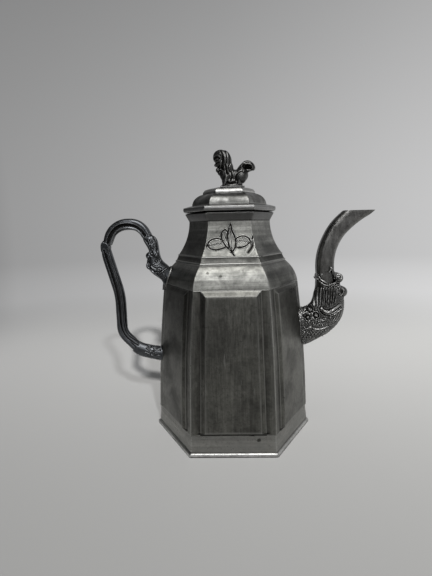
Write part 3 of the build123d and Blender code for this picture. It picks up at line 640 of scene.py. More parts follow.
# the sprig engraved on the front of the neck: two leaves up, one to each side, (x, z) in millimetres
sprigShapes = {
    "leftLeaf": [
        (-3.5, 167.6), (-5.4, 166.5), (-6.3, 164.1), (-6.0, 160.6), (-3.9, 156.6), (-1.3, 153.7), (1.3, 151.2),
    ],
    "leftLeafBack": [(-3.5, 167.6), (-1.9, 166.1), (-1.6, 163.4), (-1.7, 161.4)],
    "tallLeafLeft": [
        (0.8, 171.7), (-0.1, 169.7), (-1.3, 165.8), (-1.9, 161.8), (-1.2, 157.7), (-0.2, 154.5), (1.4, 151.2),
    ],
    "tallLeafRight": [(0.8, 171.7), (1.4, 167.3), (3.2, 163.2), (4.4, 159.2), (3.9, 154.8), (2.0, 151.7)],
    "stem": [(0.5, 152.4), (2.9, 148.6)],
    "sideLeafTop": [(-16.9, 156.0), (-15.5, 159.2), (-11.9, 160.9), (-8.0, 160.9), (-5.6, 159.3)],
    "sideLeafLow": [(-16.9, 156.0), (-14.5, 153.9), (-10.4, 153.0), (-6.2, 153.8), (-2.9, 155.0)],
    "farLeafTop": [(3.8, 159.6), (6.1, 161.7), (10.0, 162.6), (13.7, 161.1), (15.7, 158.0)],
    "farLeafLow": [(4.5, 154.5), (8.3, 154.3), (11.8, 155.5), (14.4, 157.5), (15.7, 158.0)],
}
sprigVeins = {
    "leftVein": [(-4.3, 165.7), (-3.4, 161.8), (-1.7, 157.3), (0.1, 153.6)],
    "tallVein": [(0.4, 166.6), (0.9, 160.1), (1.5, 153.3)],
    "sideVein": [(-15.7, 156.1), (-12.0, 156.7), (-8.7, 157.7), (-5.6, 157.3)],
    "farVein": [(5.1, 158.7), (9.1, 159.1), (12.4, 158.5), (15.1, 158.3)],
}
# each cut as its width and depth, then the short side veins and the fine grid they need
sprig = {
    "outline": (0.62, -0.30), "vein": (0.40, -0.12), "sideVein": (0.32, -0.13), "sideGap": 1.5,
    "sideLean": 0.9, "sideReach": 1.1, "rows": 110, "columns": 132,
}
sprigLines = [(points, *sprig["outline"]) for points in sprigShapes.values()]
sprigLines += [(points, *sprig["vein"]) for points in sprigVeins.values()]
for vein in ("sideVein", "farVein"):
    line = curvePoints(sprigVeins[vein], sprig["sideGap"])
    for near, beyond in zip(line, line[1:]):
        lean = (beyond - near).normalized() * sprig["sideLean"]
        for reach in (sprig["sideReach"], -sprig["sideReach"]):
            sprigLines.append(([(near.x, near.y), (near.x + lean.x, near.y + reach)], *sprig["sideVein"]))
# a bud on its stalk beside the leaves
sprigLines.append(([(17.5, 162.8), (16.7, 160.4)], 0.75, -0.30))
sprigLines.append(([(16.9, 157.4), (16.0, 154.1), (13.4, 150.9)], 1.5, -0.16))


def rolledPlate(part, side, profile, columns, material, dents, rise=None, cuts=()):
    # one side's plate, turned to its place; cuts are engraved into the front one only
    bm = bmesh.new()
    hexStrip(bm, profile, columns, rise, side=side, dents=dents)
    closeEnds(bm)
    if rise:
        # painted shadow under the field's lower edge: points just below it get a negative depth, which the
        # wall's material darkens
        shadowLayer = bm.verts.layers.float.new("chaseAndShadow")
        for vert in bm.verts:
            low = field["shadowFoot"] < vert.co.z - field["foot"] < field["shadowTop"]
            if low and abs(vert.co.x) < field["footHalf"] and vert.co.y < -40:
                vert[shadowLayer] = field["paintedShadow"]
    bmesh.ops.rotate(bm, verts=bm.verts, cent=(0, 0, 0), matrix=turnTo(side))
    name = f"{part}_{sideNames[side]}"
    mesh = meshOf(bm, name)
    if cuts:
        chased(mesh, cuts, frontOnly=True)
    finishedPiece(f"{name}_plate", mesh, "pot", "sheet_pewter", material, name)


for side in range(len(sideNames)):
    rolledPlate("wall", side, wallProfile(), wallColumns, wallPewter, body["dents"], fieldRise)
    profile = plateProfile(wallTop, shoulderTop, body["shoulderBow"], 20, body["shoulderArris"])
    rolledPlate("shoulder", side, profile, evenColumns(24), neckPewter, body["shoulderDents"])
    rows, columns = (26, 24) if side else (sprig["rows"], sprig["columns"])
    profile = plateProfile(collarTop, neckTop, body["neckBow"], rows, body["neckArris"])
    cuts = () if side else sprigLines
    rolledPlate("neck", side, profile, evenColumns(columns), neckPewter, body["dents"], cuts=cuts)
print("plates rolled")


def ringPiece(name, corners, riding, material, replaced, dents=0.06):
    bm = bmesh.new()
    hexStrip(bm, softenedProfile(corners), evenColumns(16))
    carriedRound(bm)
    for vert in bm.verts:
        outward = Vector((vert.co.x, vert.co.y, 0)).normalized()
        vert.co += outward * handWork(vert.co, dents)
    finishedPiece(name, meshOf(bm, name), riding, "sheet_pewter", material, replaced)


# a corner is (distance from the axis, height, rounding, arris)
foot = {
    "low": 3.2, "lowCorner": 64.3, "topCorner": 62.8, "plateCorner": 66.0, "plateMiddle": 20.0,
    "bullnose": 1.9,
}
footLow, footTop = (foot["lowCorner"] * flat, foot["low"]), (foot["topCorner"] * flat, body["wallFoot"])
ringPiece(
    "foot_band_ring",
    [(*footLow, 0.2, 1.5), (*footTop, 0.35, 1.5), (*within(footTop), 0, inner), (*within(footLow), 0, inner)],
    "pot", footPewter, "foot_band",
)
collar = {"lowBead": (141.8, 143.6), "topBead": (146.8, 148.2), "rise": 0.5, "arris": 1.1}


def collarBead(bead):
    rise = collarTop[1] - shoulderTop[1]
    ends = [Vector(shoulderTop).lerp(collarTop, (z - shoulderTop[1]) / rise) for z in bead]
    return [(*point, 0, collar["arris"]) for point in bowPoints(*ends, collar["rise"], 6)]


ringPiece(
    "neck_collar_ring",
    collarBead(collar["lowBead"]) + collarBead(collar["topBead"])
    + [(*within(collarTop), 0, inner), (*within(shoulderTop), 0, inner)],
    "pot", neckPewter, "neck_collar",
)
mouth = {"top": 181.0, "lip": (36.3 * flat, 180.2), "seat": 34.6 * flat}
ringPiece(
    "mouth_ring_rim",
    [
        (*neckTop, 0.25, 1.0), (*mouth["lip"], 0.35, 1.2), (mouth["seat"], mouth["top"], 0.2, 1.0),
        (within(neckTop)[0], mouth["top"], 0.3, 0.4), (*within(neckTop), 0, inner),
    ],
    "pot", mouthPewter, "mouth_ring",
)
lid = {
    "rimLow": 181.3, "rimSeat": 184.0, "domeFoot": (30.4 * flat, 187.0), "domeTop": (21.6 * flat, 195.8),
    "domeBow": 1.9, "domeSheet": 1.8, "domeDents": 0.12, "rimSheet": 2.4,
}
domeFoot, domeTop = lid["domeFoot"], lid["domeTop"]
domeFootBehind, domeTopBehind = within(domeFoot, lid["domeSheet"]), within(domeTop, lid["domeSheet"])
rimHole = within(neckTop, lid["rimSheet"])[0]
ringPiece(
    "lid_rim_ring",
    [
        (35.8 * flat, lid["rimLow"], 0.1, 1.2), (37.4 * flat, 182.0, 0.4, 1.6), (37.9 * flat, 183.6, 0.6, 1.6),
        (37.5 * flat, 185.2, 0.45, 1.4), (*domeFoot, 0, 1.0), (*domeFootBehind, 0, inner),
        (domeFootBehind[0], lid["rimSeat"], 0, inner), (rimHole, lid["rimSeat"], 0, inner),
        (rimHole, lid["rimLow"], 0.1, inner),
    ],
    "lid", rimPewter, "lid_rim",
)
outer = bowPoints(domeFoot, domeTop, lid["domeBow"], 16)
behind = bowPoints(domeTopBehind, domeFootBehind, -lid["domeBow"], 6)
ringPiece(
    "lid_dome_ring",
    [(*point, 0.2 if point in (outer[0], outer[-1]) else 0, 1.1) for point in outer]
    + [(*point, 0, inner) for point in behind],
    "lid", lidPewter, "lid_dome", lid["domeDents"],
)


# a solid six-sided piece ends in a pinhole at its axis, which a weld wider than it closes
plug = {"pinhole": (0.05, 0.01), "weld": 0.12}


def plugPiece(name, corners, riding, material, replaced, columns=12):
    # its outline runs from the middle of its underside to its top
    bm = bmesh.new()
    middle = [(plug["pinhole"][0], corners[end][1], 0, plug["pinhole"][1]) for end in (-1, 0)]
    hexStrip(bm, softenedProfile(corners + middle, 4), evenColumns(columns))
    carriedRound(bm)
    bmesh.ops.remove_doubles(bm, verts=bm.verts, dist=plug["weld"])
    bmesh.ops.recalc_face_normals(bm, faces=bm.faces)
    finishedPiece(name, meshOf(bm, name), riding, "sheet_pewter", material, replaced)


plateMiddle, plateEdge = foot["plateMiddle"] * flat, foot["plateCorner"] * flat
plugPiece(
    "base_plate_slab",
    [
        (plateMiddle, 0.0, 0, 0.5), (plateEdge, 0.0, 0.5, 1.6),
        (plateEdge, foot["low"], foot["bullnose"], 1.6), (plateMiddle, foot["low"], 0, 0.5),
    ],
    "pot", basePewter, "base_plate", columns=20,
)
capFoot = domeTop[1]
plugPiece(
    "lid_cap_plate",
    [
        (corner * flat, capFoot + rise, rounding, arris)
        for corner, rise, rounding, arris in (
            (15.0, 2.1, 0, 0.5), (15.0, 0, 0.1, 0.8), (21.4, 0, 0.2, 1.0), (21.2, 1.5, 0.8, 1.0),
            (19.6, 3.3, 0.8, 1.0), (16.8, 4.2, 0.6, 0.8), (10.5, 4.5, 0.2, 0.8),
        )
    ],
    "lid", capPewter, "lid_cap",
)
print("rings turned")


# castings: a rough form fused into one skin, then chased with lines as a chaser does
def ball(bm, place, radii, lean=0.0):
    made = bmesh.ops.create_icosphere(bm, subdivisions=3, radius=1.0)["verts"]
    turn = Matrix.Rotation(math.radians(lean), 4, "Y")
    shape = Matrix.Translation(place) @ turn @ Matrix.Diagonal((*radii, 1))
    bmesh.ops.transform(bm, verts=made, matrix=shape)


def limb(bm, points):
    # a round limb through (x, y, z, radius) points
    for point in curvePoints(points, 0.6):
        made = bmesh.ops.create_icosphere(bm, subdivisions=2, radius=max(point[3], 0.25))["verts"]
        bmesh.ops.translate(bm, verts=made, vec=point[:3])


pebble = {"size": 2.5, "depth": 0.32, "squash": 0.7, "groove": 0.30, "sunkShare": 0.55}


def pebbled(mesh, shareAt):
    # small raised scales parted by grooves, where shareAt(x, z) says how strongly
    co, normal = pointArrays(mesh)
    move = np.zeros(len(co))
    for index, (x, y, z) in enumerate(co):
        share = shareAt(x, z)
        if share > 0:
            gaps = noise.voronoi(Vector((x, y * pebble["squash"], z)) / pebble["size"])[0]
            edge = min(1.0, (gaps[1] - gaps[0]) / pebble["groove"])
            move[index] = pebble["depth"] * share * (edge * (2 - edge) - pebble["sunkShare"])
    moved(mesh, co, normal, move)


def eased(mesh, rounds):
    bm = bmesh.new()
    bm.from_mesh(mesh)
    axes = {f"use_axis_{axis}": True for axis in "xyz"}
    for _ in range(rounds):
        bmesh.ops.smooth_vert(bm, verts=bm.verts, factor=0.5, **axes)
    bm.to_mesh(mesh)
    bm.free()


def bosses(spots):
    # a round boss for each (x, z, width, height)
    return [([(x, z), (x + 0.05, z)], width, height) for x, z, width, height in spots]


def cast(bm, name, sizes, lines, material, riding="pot", rounds=1, full=0.9, scalesAt=None):
    # fuses the rough form in bm, chases it and puts it in place of the node it is named after
    mesh = remeshed(bm, name, sizes["voxel"], sizes["smoothing"])
    chased(mesh, [(points, width, height * sizes["relief"]) for points, width, height in lines])
    if scalesAt:
        pebbled(mesh, scalesAt)
    eased(mesh, rounds)
    piece = f"{name}_casting"
    finishedPiece(piece, mesh, riding, "cast_pewter", material, name, smoothAngle=60, passes=1, full=full)


# lion: head up to -X, mane down its back, tail curled over
lion = {"voxel": 0.27, "smoothing": 6, "relief": 0.48, "lineWidth": 1.15, "plinth": (19.4, 12.6, 1.6)}
bm = bmesh.new()
for place, radii, lean in (
    # head, cheeks, muzzle, chin and beard
    ((-6.3, 0, 225.0), (6.0, 5.3, 5.6), 0), ((-5.2, 0, 220.6), (5.4, 5.2, 5.0), 0),
    ((-9.6, 0, 223.6), (2.6, 3.4, 3.0), 0), ((-9.9, 0, 218.6), (1.6, 2.5, 1.4), 0),
    ((-8.4, 0, 214.8), (1.9, 2.5, 2.1), 0), ((-6.9, 0, 212.6), (1.9, 2.4, 2.2), 0),
    # mane, chest and neck
    ((-2.2, 0, 222.0), (4.9, 5.6, 8.2), -10), ((-0.6, 0, 216.4), (4.6, 5.4, 6.6), -14),
    ((-3.0, 0, 211.4), (4.2, 4.6, 5.6), 0), ((-1.6, 0, 206.2), (4.0, 4.4, 5.0), 0),
    # body, haunch, the fill between the legs and inside the tail, and the flare of the foot
    ((4.2, 0, 209.8), (8.6, 5.2, 5.2), 0), ((10.2, 0, 210.6), (5.6, 5.2, 5.8), -24),
    ((3.4, 0, 205.2), (8.2, 5.2, 4.6), 0), ((14.8, 0, 216.8), (2.8, 1.3, 2.0), 0),
    ((2.6, 0, 202.0), (9.4, 6.0, 2.4), 0),
):
    ball(bm, place, radii, lean)
for side in (-1, 1):
    # ear, foreleg, thigh and hind leg
    ball(bm, (-6.2, side * 4.4, 226.4), (2.0, 1.5, 1.6))
    limb(bm, [(-1.6, side * 3.0, 209.0, 2.3), (-2.8, side * 3.5, 205.4, 1.9), (-3.8, side * 3.8, 202.9, 1.6)])
    ball(bm, (9.8, side * 3.4, 208.6), (4.6, 2.9, 4.8), -24)
    limb(bm, [(8.4, side * 4.0, 206.0, 2.0), (8.0, side * 4.2, 203.4, 1.8), (6.4, side * 4.2, 202.6, 1.5)])
    # the tail comes up, rolls over and ends in a thick tip
    limb(bm, [
        (9.4, side * 1.8, 213.0, 2.3), (10.8, side * 2.0, 216.8, 1.9), (13.0, side * 2.2, 219.2, 1.8),
        (15.8, side * 2.2, 219.6, 1.9), (18.4, side * 2.0, 217.6, 2.1), (19.6, side * 1.6, 215.6, 1.9),
    ])
limb(bm, [
    (8.6, 0, 213.4, 2.8), (11.0, 0, 217.4, 2.1), (13.6, 0, 219.2, 1.8), (16.4, 0, 218.8, 1.9),
    (19.2, 0, 216.4, 2.0),
])
limb(bm, [(19.2, 0, 215.6, 1.9), (17.0, 0, 214.8, 1.8), (14.4, 0, 213.8, 1.9)])
plinth = bmesh.ops.create_cube(bm, size=1.0)["verts"]
bmesh.ops.scale(bm, verts=plinth, vec=lion["plinth"])
bmesh.ops.translate(bm, verts=plinth, vec=(2.8, 0, capFoot + 5.1))
lionLines = [
    # brow, eye, nose and mouth
    ([(-11.4, 225.4), (-9.6, 226.0), (-7.4, 225.2), (-6.0, 223.4)], 0.8, 0.55),
    ([(-10.6, 223.9), (-9.0, 223.9), (-7.6, 223.3)], 1.0, -1.1),
    ([(-10.8, 221.6), (-9.0, 221.0), (-7.2, 221.4), (-6.0, 222.6)], 0.7, 0.6),
    ([(-11.4, 220.2), (-9.2, 219.9), (-7.2, 220.2)], 0.6, -0.9),
    ([(-10.6, 216.6), (-8.8, 216.7), (-6.8, 217.6)], 0.7, -1.0),
    ([(-9.4, 212.8), (-7.8, 213.6), (-6.2, 214.6)], 0.5, -0.6),
    # the mane: a smooth band behind the face, then three long locks that end in points
    ([(-5.6, 229.6), (-4.6, 226.4), (-4.2, 222.4), (-5.0, 218.4), (-4.6, 214.6)], 0.8, -0.9),
    ([(-2.4, 229.6), (-1.4, 225.4), (-1.3, 221.0), (-2.4, 217.2), (-1.6, 213.2), (-0.8, 210.8)], 0.6, -0.8),
    ([(-0.2, 228.6), (0.9, 224.2), (1.1, 219.8), (0.0, 216.2), (0.9, 212.8)], 0.55, -0.7),
    ([(-1.2, 218.4), (-0.6, 215.2), (0.0, 212.2)], 0.6, 0.5),
    ([(-3.4, 217.6), (-3.0, 213.8), (-2.2, 210.6)], 0.6, 0.5),
    ([(1.9, 219.0), (2.2, 215.6), (3.0, 213.2)], 0.6, 0.5),
    # shoulder, haunch and tail
    ([(1.8, 212.6), (2.6, 209.0), (1.2, 205.8)], 0.8, -0.7),
    ([(5.6, 205.6), (5.8, 209.0), (8.2, 212.0), (11.0, 213.0)], 0.7, -0.7),
    ([(-1.0, 204.6), (1.6, 204.0), (4.6, 204.6)], 1.0, -0.8),
    ([(12.4, 216.9), (13.8, 216.3), (15.4, 216.5), (16.8, 215.9)], 1.5, -1.8),
    ([(10.4, 215.4), (11.6, 218.0), (13.6, 219.6), (16.4, 219.6)], 0.5, -0.5),
    ([(-4.8, 203.2), (-3.8, 203.0)], 0.35, -0.4), ([(5.8, 203.0), (7.2, 203.0)], 0.35, -0.4),
]
lionLines = [(points, width * lion["lineWidth"], height) for points, width, height in lionLines]
cast(bm, "lion_finial", lion, lionLines, finialPewter, "lid", rounds=2, full=0.7)
print("lion chased")

# dragon socket: a head that holds the spout in its mouth, with locks, bosses and scales over it
dragon = {
    "voxel": 0.32, "smoothing": 1, "relief": 1.35, "rootEnd": 71.0, "rootReach": 11.0, "rootMiddle": 87.0,
    "rootHalf": 17.0, "topDrop": 3.0, "lowDrop": 2.0, "throatDraw": 1.4, "throatEdge": 75.0,
    "throatDepth": 5.0, "throatFoot": 114.0, "throatEase": 10.0, "locks": (118.6, 112.4, 107.6), "crossings": 9,
    "crossingStart": 58.6, "crossingGap": 2.7, "rootScales": 103.5, "headScales": 95.0, "scaleFade": 2.0,
    "headStart": 70.5, "smoothBand": (84.4, 87.2), "bandShare": 0.35,
}
bm = cadCopy("dragon_socket")
for side in (-1, 1):
    # two curls and a boss at the top of the head, and the crescent under it
    limb(bm, [(79.6, side * 7.4, 131.6, 0.9), (81.6, side * 7.6, 134.4, 0.75), (80.8, side * 7.4, 135.4, 0.6)])
    limb(bm, [(83.2, side * 6.6, 129.8, 1.1), (82.6, side * 7.2, 132.4, 0.9), (81.0, side * 7.4, 134.8, 0.7)])
    ball(bm, (73.6, side * 7.3, 129.8), (0.8, 0.8, 0.9))
    limb(bm, [
        (72.6, side * 7.9, 101.6, 0.8), (75.2, side * 9.6, 100.0, 1.5), (78.4, side * 10.1, 99.0, 1.7),
        (82.2, side * 9.4, 100.4, 1.5), (86.0, side * 7.8, 102.8, 1.2), (90.0, side * 5.2, 105.4, 0.9),
    ])
for vert in bm.verts:
    # the root draws in towards the middle of its seat on the walls
    lean = held((dragon["rootEnd"] - vert.co.x) / dragon["rootReach"])
    above = (vert.co.z - dragon["rootMiddle"]) / dragon["rootHalf"]
    drop = dragon["topDrop"] if above > 0 else dragon["lowDrop"]
    vert.co.z -= drop * lean * min(1.0, abs(above)) ** 2
    # its throat draws in to the tube it holds
    back = held((dragon["throatEdge"] - vert.co.x) / dragon["throatDepth"])
    vert.co.x += dragon["throatDraw"] * back * held((vert.co.z - dragon["throatFoot"]) / dragon["throatEase"])
dragonLines = [
    ([(71.0, 129.4), (72.6, 126.6), (75.4, 124.0), (78.4, 123.3), (81.4, 124.0), (83.6, 126.2)], 0.8, 0.75),
    ([(70.6, 126.4), (72.8, 123.8), (75.8, 121.6), (79.0, 121.2), (82.0, 122.4)], 0.45, 0.45),
    ([(86.0, 125.4), (85.4, 127.6), (86.8, 129.4), (89.0, 129.0), (89.8, 127.0), (88.6, 125.6),
      (87.4, 126.8)], 0.5, 0.5),
    ([(88.4, 121.6), (86.2, 122.4), (84.4, 121.2)], 0.6, -0.7),
    ([(73.4, 101.9), (75.6, 100.4), (78.3, 99.3), (81.6, 100.4), (85.3, 102.5), (89.0, 105.2)], 1.3, 0.42),
    ([(72.6, 100.0), (75.2, 97.6), (79.1, 96.5), (83.4, 97.6), (87.2, 100.2), (90.4, 102.4)], 0.6, -0.9),
    ([(65.6, 95.6), (64.2, 97.6), (61.6, 97.0), (60.4, 94.4), (61.6, 92.2), (64.0, 91.8),
      (66.0, 93.4)], 0.5, 0.6),
    ([(67.0, 99.0), (69.6, 99.6), (71.8, 97.6), (71.6, 94.8), (69.2, 93.6)], 0.45, 0.45),
    ([(80.0, 96.2), (79.4, 93.4), (78.0, 91.0)], 0.45, 0.5),
    ([(82.8, 96.4), (82.4, 93.6), (80.8, 90.6)], 0.45, 0.5),
    ([(85.8, 98.4), (85.0, 95.0), (83.2, 92.0)], 0.45, 0.5),
    ([(88.4, 98.8), (87.0, 95.0), (84.6, 90.8)], 0.45, 0.5),
    ([(90.4, 98.8), (89.0, 94.6), (86.4, 90.8)], 0.4, 0.5),
    ([(86.2, 116.8), (88.2, 118.8), (90.8, 117.6), (91.4, 114.6), (89.6, 112.6), (87.6, 113.6)], 0.55, 0.5),
    ([(93.0, 110.0), (91.2, 108.6), (88.4, 108.2)], 0.4, 0.4),
    ([(93.0, 107.4), (91.0, 106.4), (88.8, 106.6)], 0.4, 0.4),
    ([(60.0, 86.6), (61.6, 85.2), (63.8, 86.0), (65.2, 86.7), (67.6, 85.3), (71.3, 84.9), (74.6, 85.3),
      (79.4, 87.0)], 0.5, 0.6),
    ([(62.0, 107.6), (65.0, 106.0), (67.6, 108.8)], 0.4, 0.4),
    ([(60.6, 104.6), (62.4, 101.4), (60.6, 99.4)], 0.4, 0.4),
    ([(72.4, 93.4), (75.4, 92.0), (77.2, 94.2)], 0.4, 0.45),
    ([(70.4, 88.4), (72.2, 89.6), (73.2, 87.2)], 0.35, 0.4),
]
# upright locks round the throat
for top, middle, low, end in (
    (73.4, 73.2, 72.9, 104.6), (75.0, 76.2, 75.6, 104.2), (77.2, 77.4, 77.2, 103.6),
    (79.2, 79.0, 78.6, 103.4), (81.2, 81.2, 80.8, 104.0), (83.4, 83.0, 82.4, 105.0),
    (85.6, 85.2, 84.2, 106.2), (69.4, 69.0, 68.6, 103.6), (71.6, 71.0, 70.8, 103.6),
):
    highZ, middleZ, lowZ = dragon["locks"]
    dragonLines.append(([(top, highZ), (middle, middleZ), (low, lowZ), (low - 0.3, end)], 0.55, 0.55))
dragonLines += bosses([
    (77.1, 119.4, 0.6, 0.7), (79.2, 120.2, 0.6, 0.7), (81.2, 119.8, 0.6, 0.7), (83.4, 119.6, 0.7, 0.8),
    (87.3, 118.4, 0.7, 0.6), (87.6, 113.6, 0.7, 0.6), (64.6, 100.9, 1.5, 1.0), (69.3, 96.5, 1.7, 1.1),
    (60.6, 95.9, 1.1, 0.8), (74.9, 101.0, 0.6, 0.4), (77.7, 100.4, 0.6, 0.4), (80.6, 100.8, 0.6, 0.4),
    (90.2, 103.6, 0.6, 0.6), (88.4, 101.4, 0.6, 0.6), (75.6, 95.2, 0.7, 0.6), (81.0, 94.4, 0.7, 0.6),
    (67.2, 89.8, 0.7, 0.6), (61.4, 89.8, 0.7, 0.5), (71.3, 91.2, 0.7, 0.6), (74.4, 88.2, 0.7, 0.6),
    (64.4, 90.6, 0.5, 0.5), (78.0, 88.8, 0.6, 0.5), (62.8, 94.6, 1.2, 0.9), (66.4, 104.2, 0.5, 0.5),
    (63.4, 103.4, 0.5, 0.5),
])
# crossed lines along the foot of the root
for step in range(dragon["crossings"]):
    x = dragon["crossingStart"] + dragon["crossingGap"] * step
    dragonLines.append(([(x, 83.8), (x + 2.6, 80.6), (x + 4.6, 77.0)], 0.4, 0.45))
    dragonLines.append(([(x + 2.8, 83.8), (x + 0.4, 80.6), (x - 1.6, 77.0)], 0.4, 0.45))


def scalesAt(x, z):
    top = dragon["rootScales"] if x < dragon["headStart"] else dragon["headScales"]
    low, high = dragon["smoothBand"]
    return held((top - z) / dragon["scaleFade"]) * (dragon["bandShare"] if low < z < high else 1.0)


cast(bm, "dragon_socket", dragon, dragonLines, castPewter, full=0.8, scalesAt=scalesAt)
print("dragon chased")

# handle: the arch with its own small dragon's head, the grip and its root
handle = {
    "voxel": 0.34, "smoothing": 3, "relief": 1.0, "scrollEdge": -105.4, "scrollFoot": 144.0, "scrollEase": 9.0,
    "scrollWear": 0.6, "knuckle": (-103.8, 0, 157.0), "knuckleRadii": (2.8, 3.8, 4.2),
}
archLines = bosses([
    (-63.4, 152.4, 0.7, 0.7), (-64.0, 149.4, 0.7, 0.7), (-67.2, 146.6, 1.0, 0.7), (-60.3, 143.1, 0.9, 0.6),
    (-62.5, 143.3, 0.5, 0.5),
]) + [
    ([(-100.6, 158.0), (-98.4, 164.0), (-95.4, 168.4), (-91.2, 171.7), (-86.6, 173.0), (-81.4, 172.8),
      (-76.6, 171.2), (-72.4, 168.0), (-69.8, 164.2)], 1.35, -1.3),
    ([(-63.2, 165.2), (-62.0, 162.6), (-61.4, 159.8)], 1.5, -0.45),
    ([(-98.8, 157.2), (-96.4, 163.4), (-93.2, 167.4), (-89.4, 169.8), (-85.2, 170.7), (-80.8, 170.4),
      (-76.6, 168.4), (-73.6, 165.4), (-70.6, 161.4), (-67.8, 157.4), (-65.6, 153.4)], 0.6, 0.5),
    ([(-66.4, 164.6), (-63.6, 163.8), (-61.2, 160.8), (-60.1, 156.6), (-59.9, 151.4), (-61.0, 148.2),
      (-63.2, 147.2), (-65.0, 149.0), (-65.2, 152.6), (-64.7, 157.0), (-66.0, 161.0)], 0.5, -0.7),
    ([(-64.3, 161.4), (-62.7, 156.8), (-62.4, 152.6)], 0.4, 0.45),
    ([(-62.4, 160.8), (-61.2, 156.6), (-61.0, 152.0)], 0.35, 0.4),
    ([(-66.0, 144.2), (-65.2, 146.4)], 0.6, -0.6),
    ([(-68.6, 141.6), (-68.4, 138.8), (-66.6, 137.6)], 0.7, 0.6),
    ([(-66.8, 142.4), (-65.8, 139.6), (-65.6, 137.4)], 0.5, -0.6),
    ([(-64.8, 139.0), (-62.6, 137.3), (-60.0, 136.8), (-56.7, 137.2)], 0.6, 0.8),
    ([(-65.2, 137.0), (-62.6, 135.0), (-59.4, 134.5), (-56.4, 135.4)], 0.6, -0.9),
    ([(-63.6, 141.8), (-61.3, 140.3), (-58.6, 141.0), (-57.6, 143.6), (-59.2, 145.6),
      (-61.8, 145.4)], 0.4, 0.45),
    ([(-63.2, 139.9), (-61.0, 138.6), (-58.4, 139.0)], 0.35, 0.4),
    ([(-58.9, 132.6), (-55.4, 134.8), (-52.6, 137.0)], 0.6, 0.6),
    ([(-57.4, 136.7), (-55.0, 132.8), (-53.6, 129.4)], 0.6, 0.6),
    ([(-54.1, 134.8), (-54.4, 130.8)], 0.5, 0.4),
    ([(-64.2, 135.2), (-60.8, 131.6), (-56.9, 127.9)], 0.5, 0.5),
    ([(-61.6, 133.6), (-58.6, 130.6), (-56.0, 130.0)], 0.4, -0.5),
]
cast(cadCopy("handle_arch"), "handle_arch", handle, archLines, handlePewter)

bm = cadCopy("handle_grip")
for vert in bm.verts:
    # the scroll is worn down to a low round end
    past = max(0.0, handle["scrollEdge"] - vert.co.x)
    vert.co.x += past * handle["scrollWear"] * held((vert.co.z - handle["scrollFoot"]) / handle["scrollEase"])
ball(bm, handle["knuckle"], handle["knuckleRadii"])
cast(bm, "handle_grip", handle, [
    ([(-104.0, 153.0), (-101.4, 143.0), (-98.4, 132.0), (-96.0, 122.0), (-94.4, 112.0), (-93.6, 102.0),
      (-93.4, 92.0), (-92.0, 84.0), (-88.4, 78.0), (-82.4, 73.2), (-76.0, 69.4)], 0.8, -0.7),
    ([(-101.0, 153.6), (-98.9, 144.0), (-95.8, 133.6), (-93.2, 122.6), (-91.6, 112.0), (-90.9, 102.0),
      (-90.7, 92.0), (-89.6, 84.6), (-86.6, 79.6), (-81.0, 75.2), (-74.6, 71.4)], 0.45, -0.4),
], handlePewter)

tail = {"voxel": 0.3, "smoothing": 1, "relief": 1.0}
cast(cadCopy("handle_tail"), "handle_tail", tail, [
    ([(-71.8, 70.8), (-70.4, 72.4), (-68.8, 71.2), (-69.4, 69.6), (-71.0, 69.8)], 0.45, 0.6),
    ([(-67.6, 69.8), (-66.2, 71.4), (-64.4, 70.4), (-64.8, 68.6), (-66.6, 68.6)], 0.45, 0.6),
    ([(-63.4, 69.0), (-62.0, 70.4), (-60.6, 69.0)], 0.45, 0.6),
    ([(-72.6, 68.9), (-70.3, 67.8), (-68.6, 66.2), (-66.7, 66.7), (-64.7, 68.0), (-61.0, 67.2)], 0.5, 0.7),
    ([(-74.0, 66.0), (-71.8, 65.0), (-70.0, 64.2)], 0.4, 0.5),
    ([(-69.0, 63.6), (-66.6, 63.2), (-64.6, 64.6)], 0.45, 0.6),
    ([(-64.6, 62.2), (-62.4, 63.0), (-60.6, 62.0)], 0.45, 0.5),
    ([(-72.8, 62.8), (-68.2, 60.8), (-62.4, 59.4)], 0.4, -0.5),
], handlePewter, full=0.8)
print("handle chased")

# the faceted tube, drawn in a little towards its centre line below a height, seen from the front
tube = {
    "line": [(77.9, 117.0), (77.9, 137.0), (81.1, 153.9), (90.3, 168.4), (101.8, 178.5), (114.7, 187.9)],
    "drawn": 0.09, "drawnBelow": 160.0, "easing": 12.0,
}
tubePath = np.array([tuple(point) for point in curvePoints(tube["line"], 0.5)])
bm = cadCopy("spout_tube")
for vert in bm.verts:
    x, z = tubePath[((tubePath - (vert.co.x, vert.co.z)) ** 2).sum(1).argmin()]
    share = tube["drawn"] * held((tube["drawnBelow"] + tube["easing"] - vert.co.z) / tube["easing"])
    vert.co.x += (x - vert.co.x) * share
    vert.co.z += (z - vert.co.z) * share
for name, bm, slotName, material in (
    ("spout_tube", bm, "sheet_pewter", spoutPewter),
    ("handle_saddle", cadCopy("handle_saddle"), "solder", solderPewter),
):
    finishedPiece(f"{name}_casting", meshOf(bm, name), "pot", slotName, material, name, smoothAngle=30)
for name in ("lid_collar", "finial_pin"):
    nodes[name].data.materials.clear()
    nodes[name].data.materials.append(insidePewter)
print("castings placed")

# the paper it stands on: tones left and right, painted shade that darkens it, and where it turns into the far
# glow
stage = {
    "floorLeft": (0.60, 0.60, 0.594, 1), "floorRight": (0.84, 0.84, 0.825, 1), "floorSpread": 0.45,
    "nearRun": (-0.30, 0.32), "nearShare": 0.43, "leftRun": (-0.75, -0.30), "leftShare": 0.25,
    "farRun": (0.30, 0.85), "farGlow": 1.22, "glowRun": (0.45, 2.2), "farLean": (0.0, 0.34, -0.17),
    "horizon": [(-0.87, 0.05), (-0.64, 0.13), (-0.47, 0.32), (0.0, 0.425), (0.45, 0.56), (0.87, 0.68)],
    "upperShare": 0.40, "frontShare": 0.42, "ambient": 0.17,
}
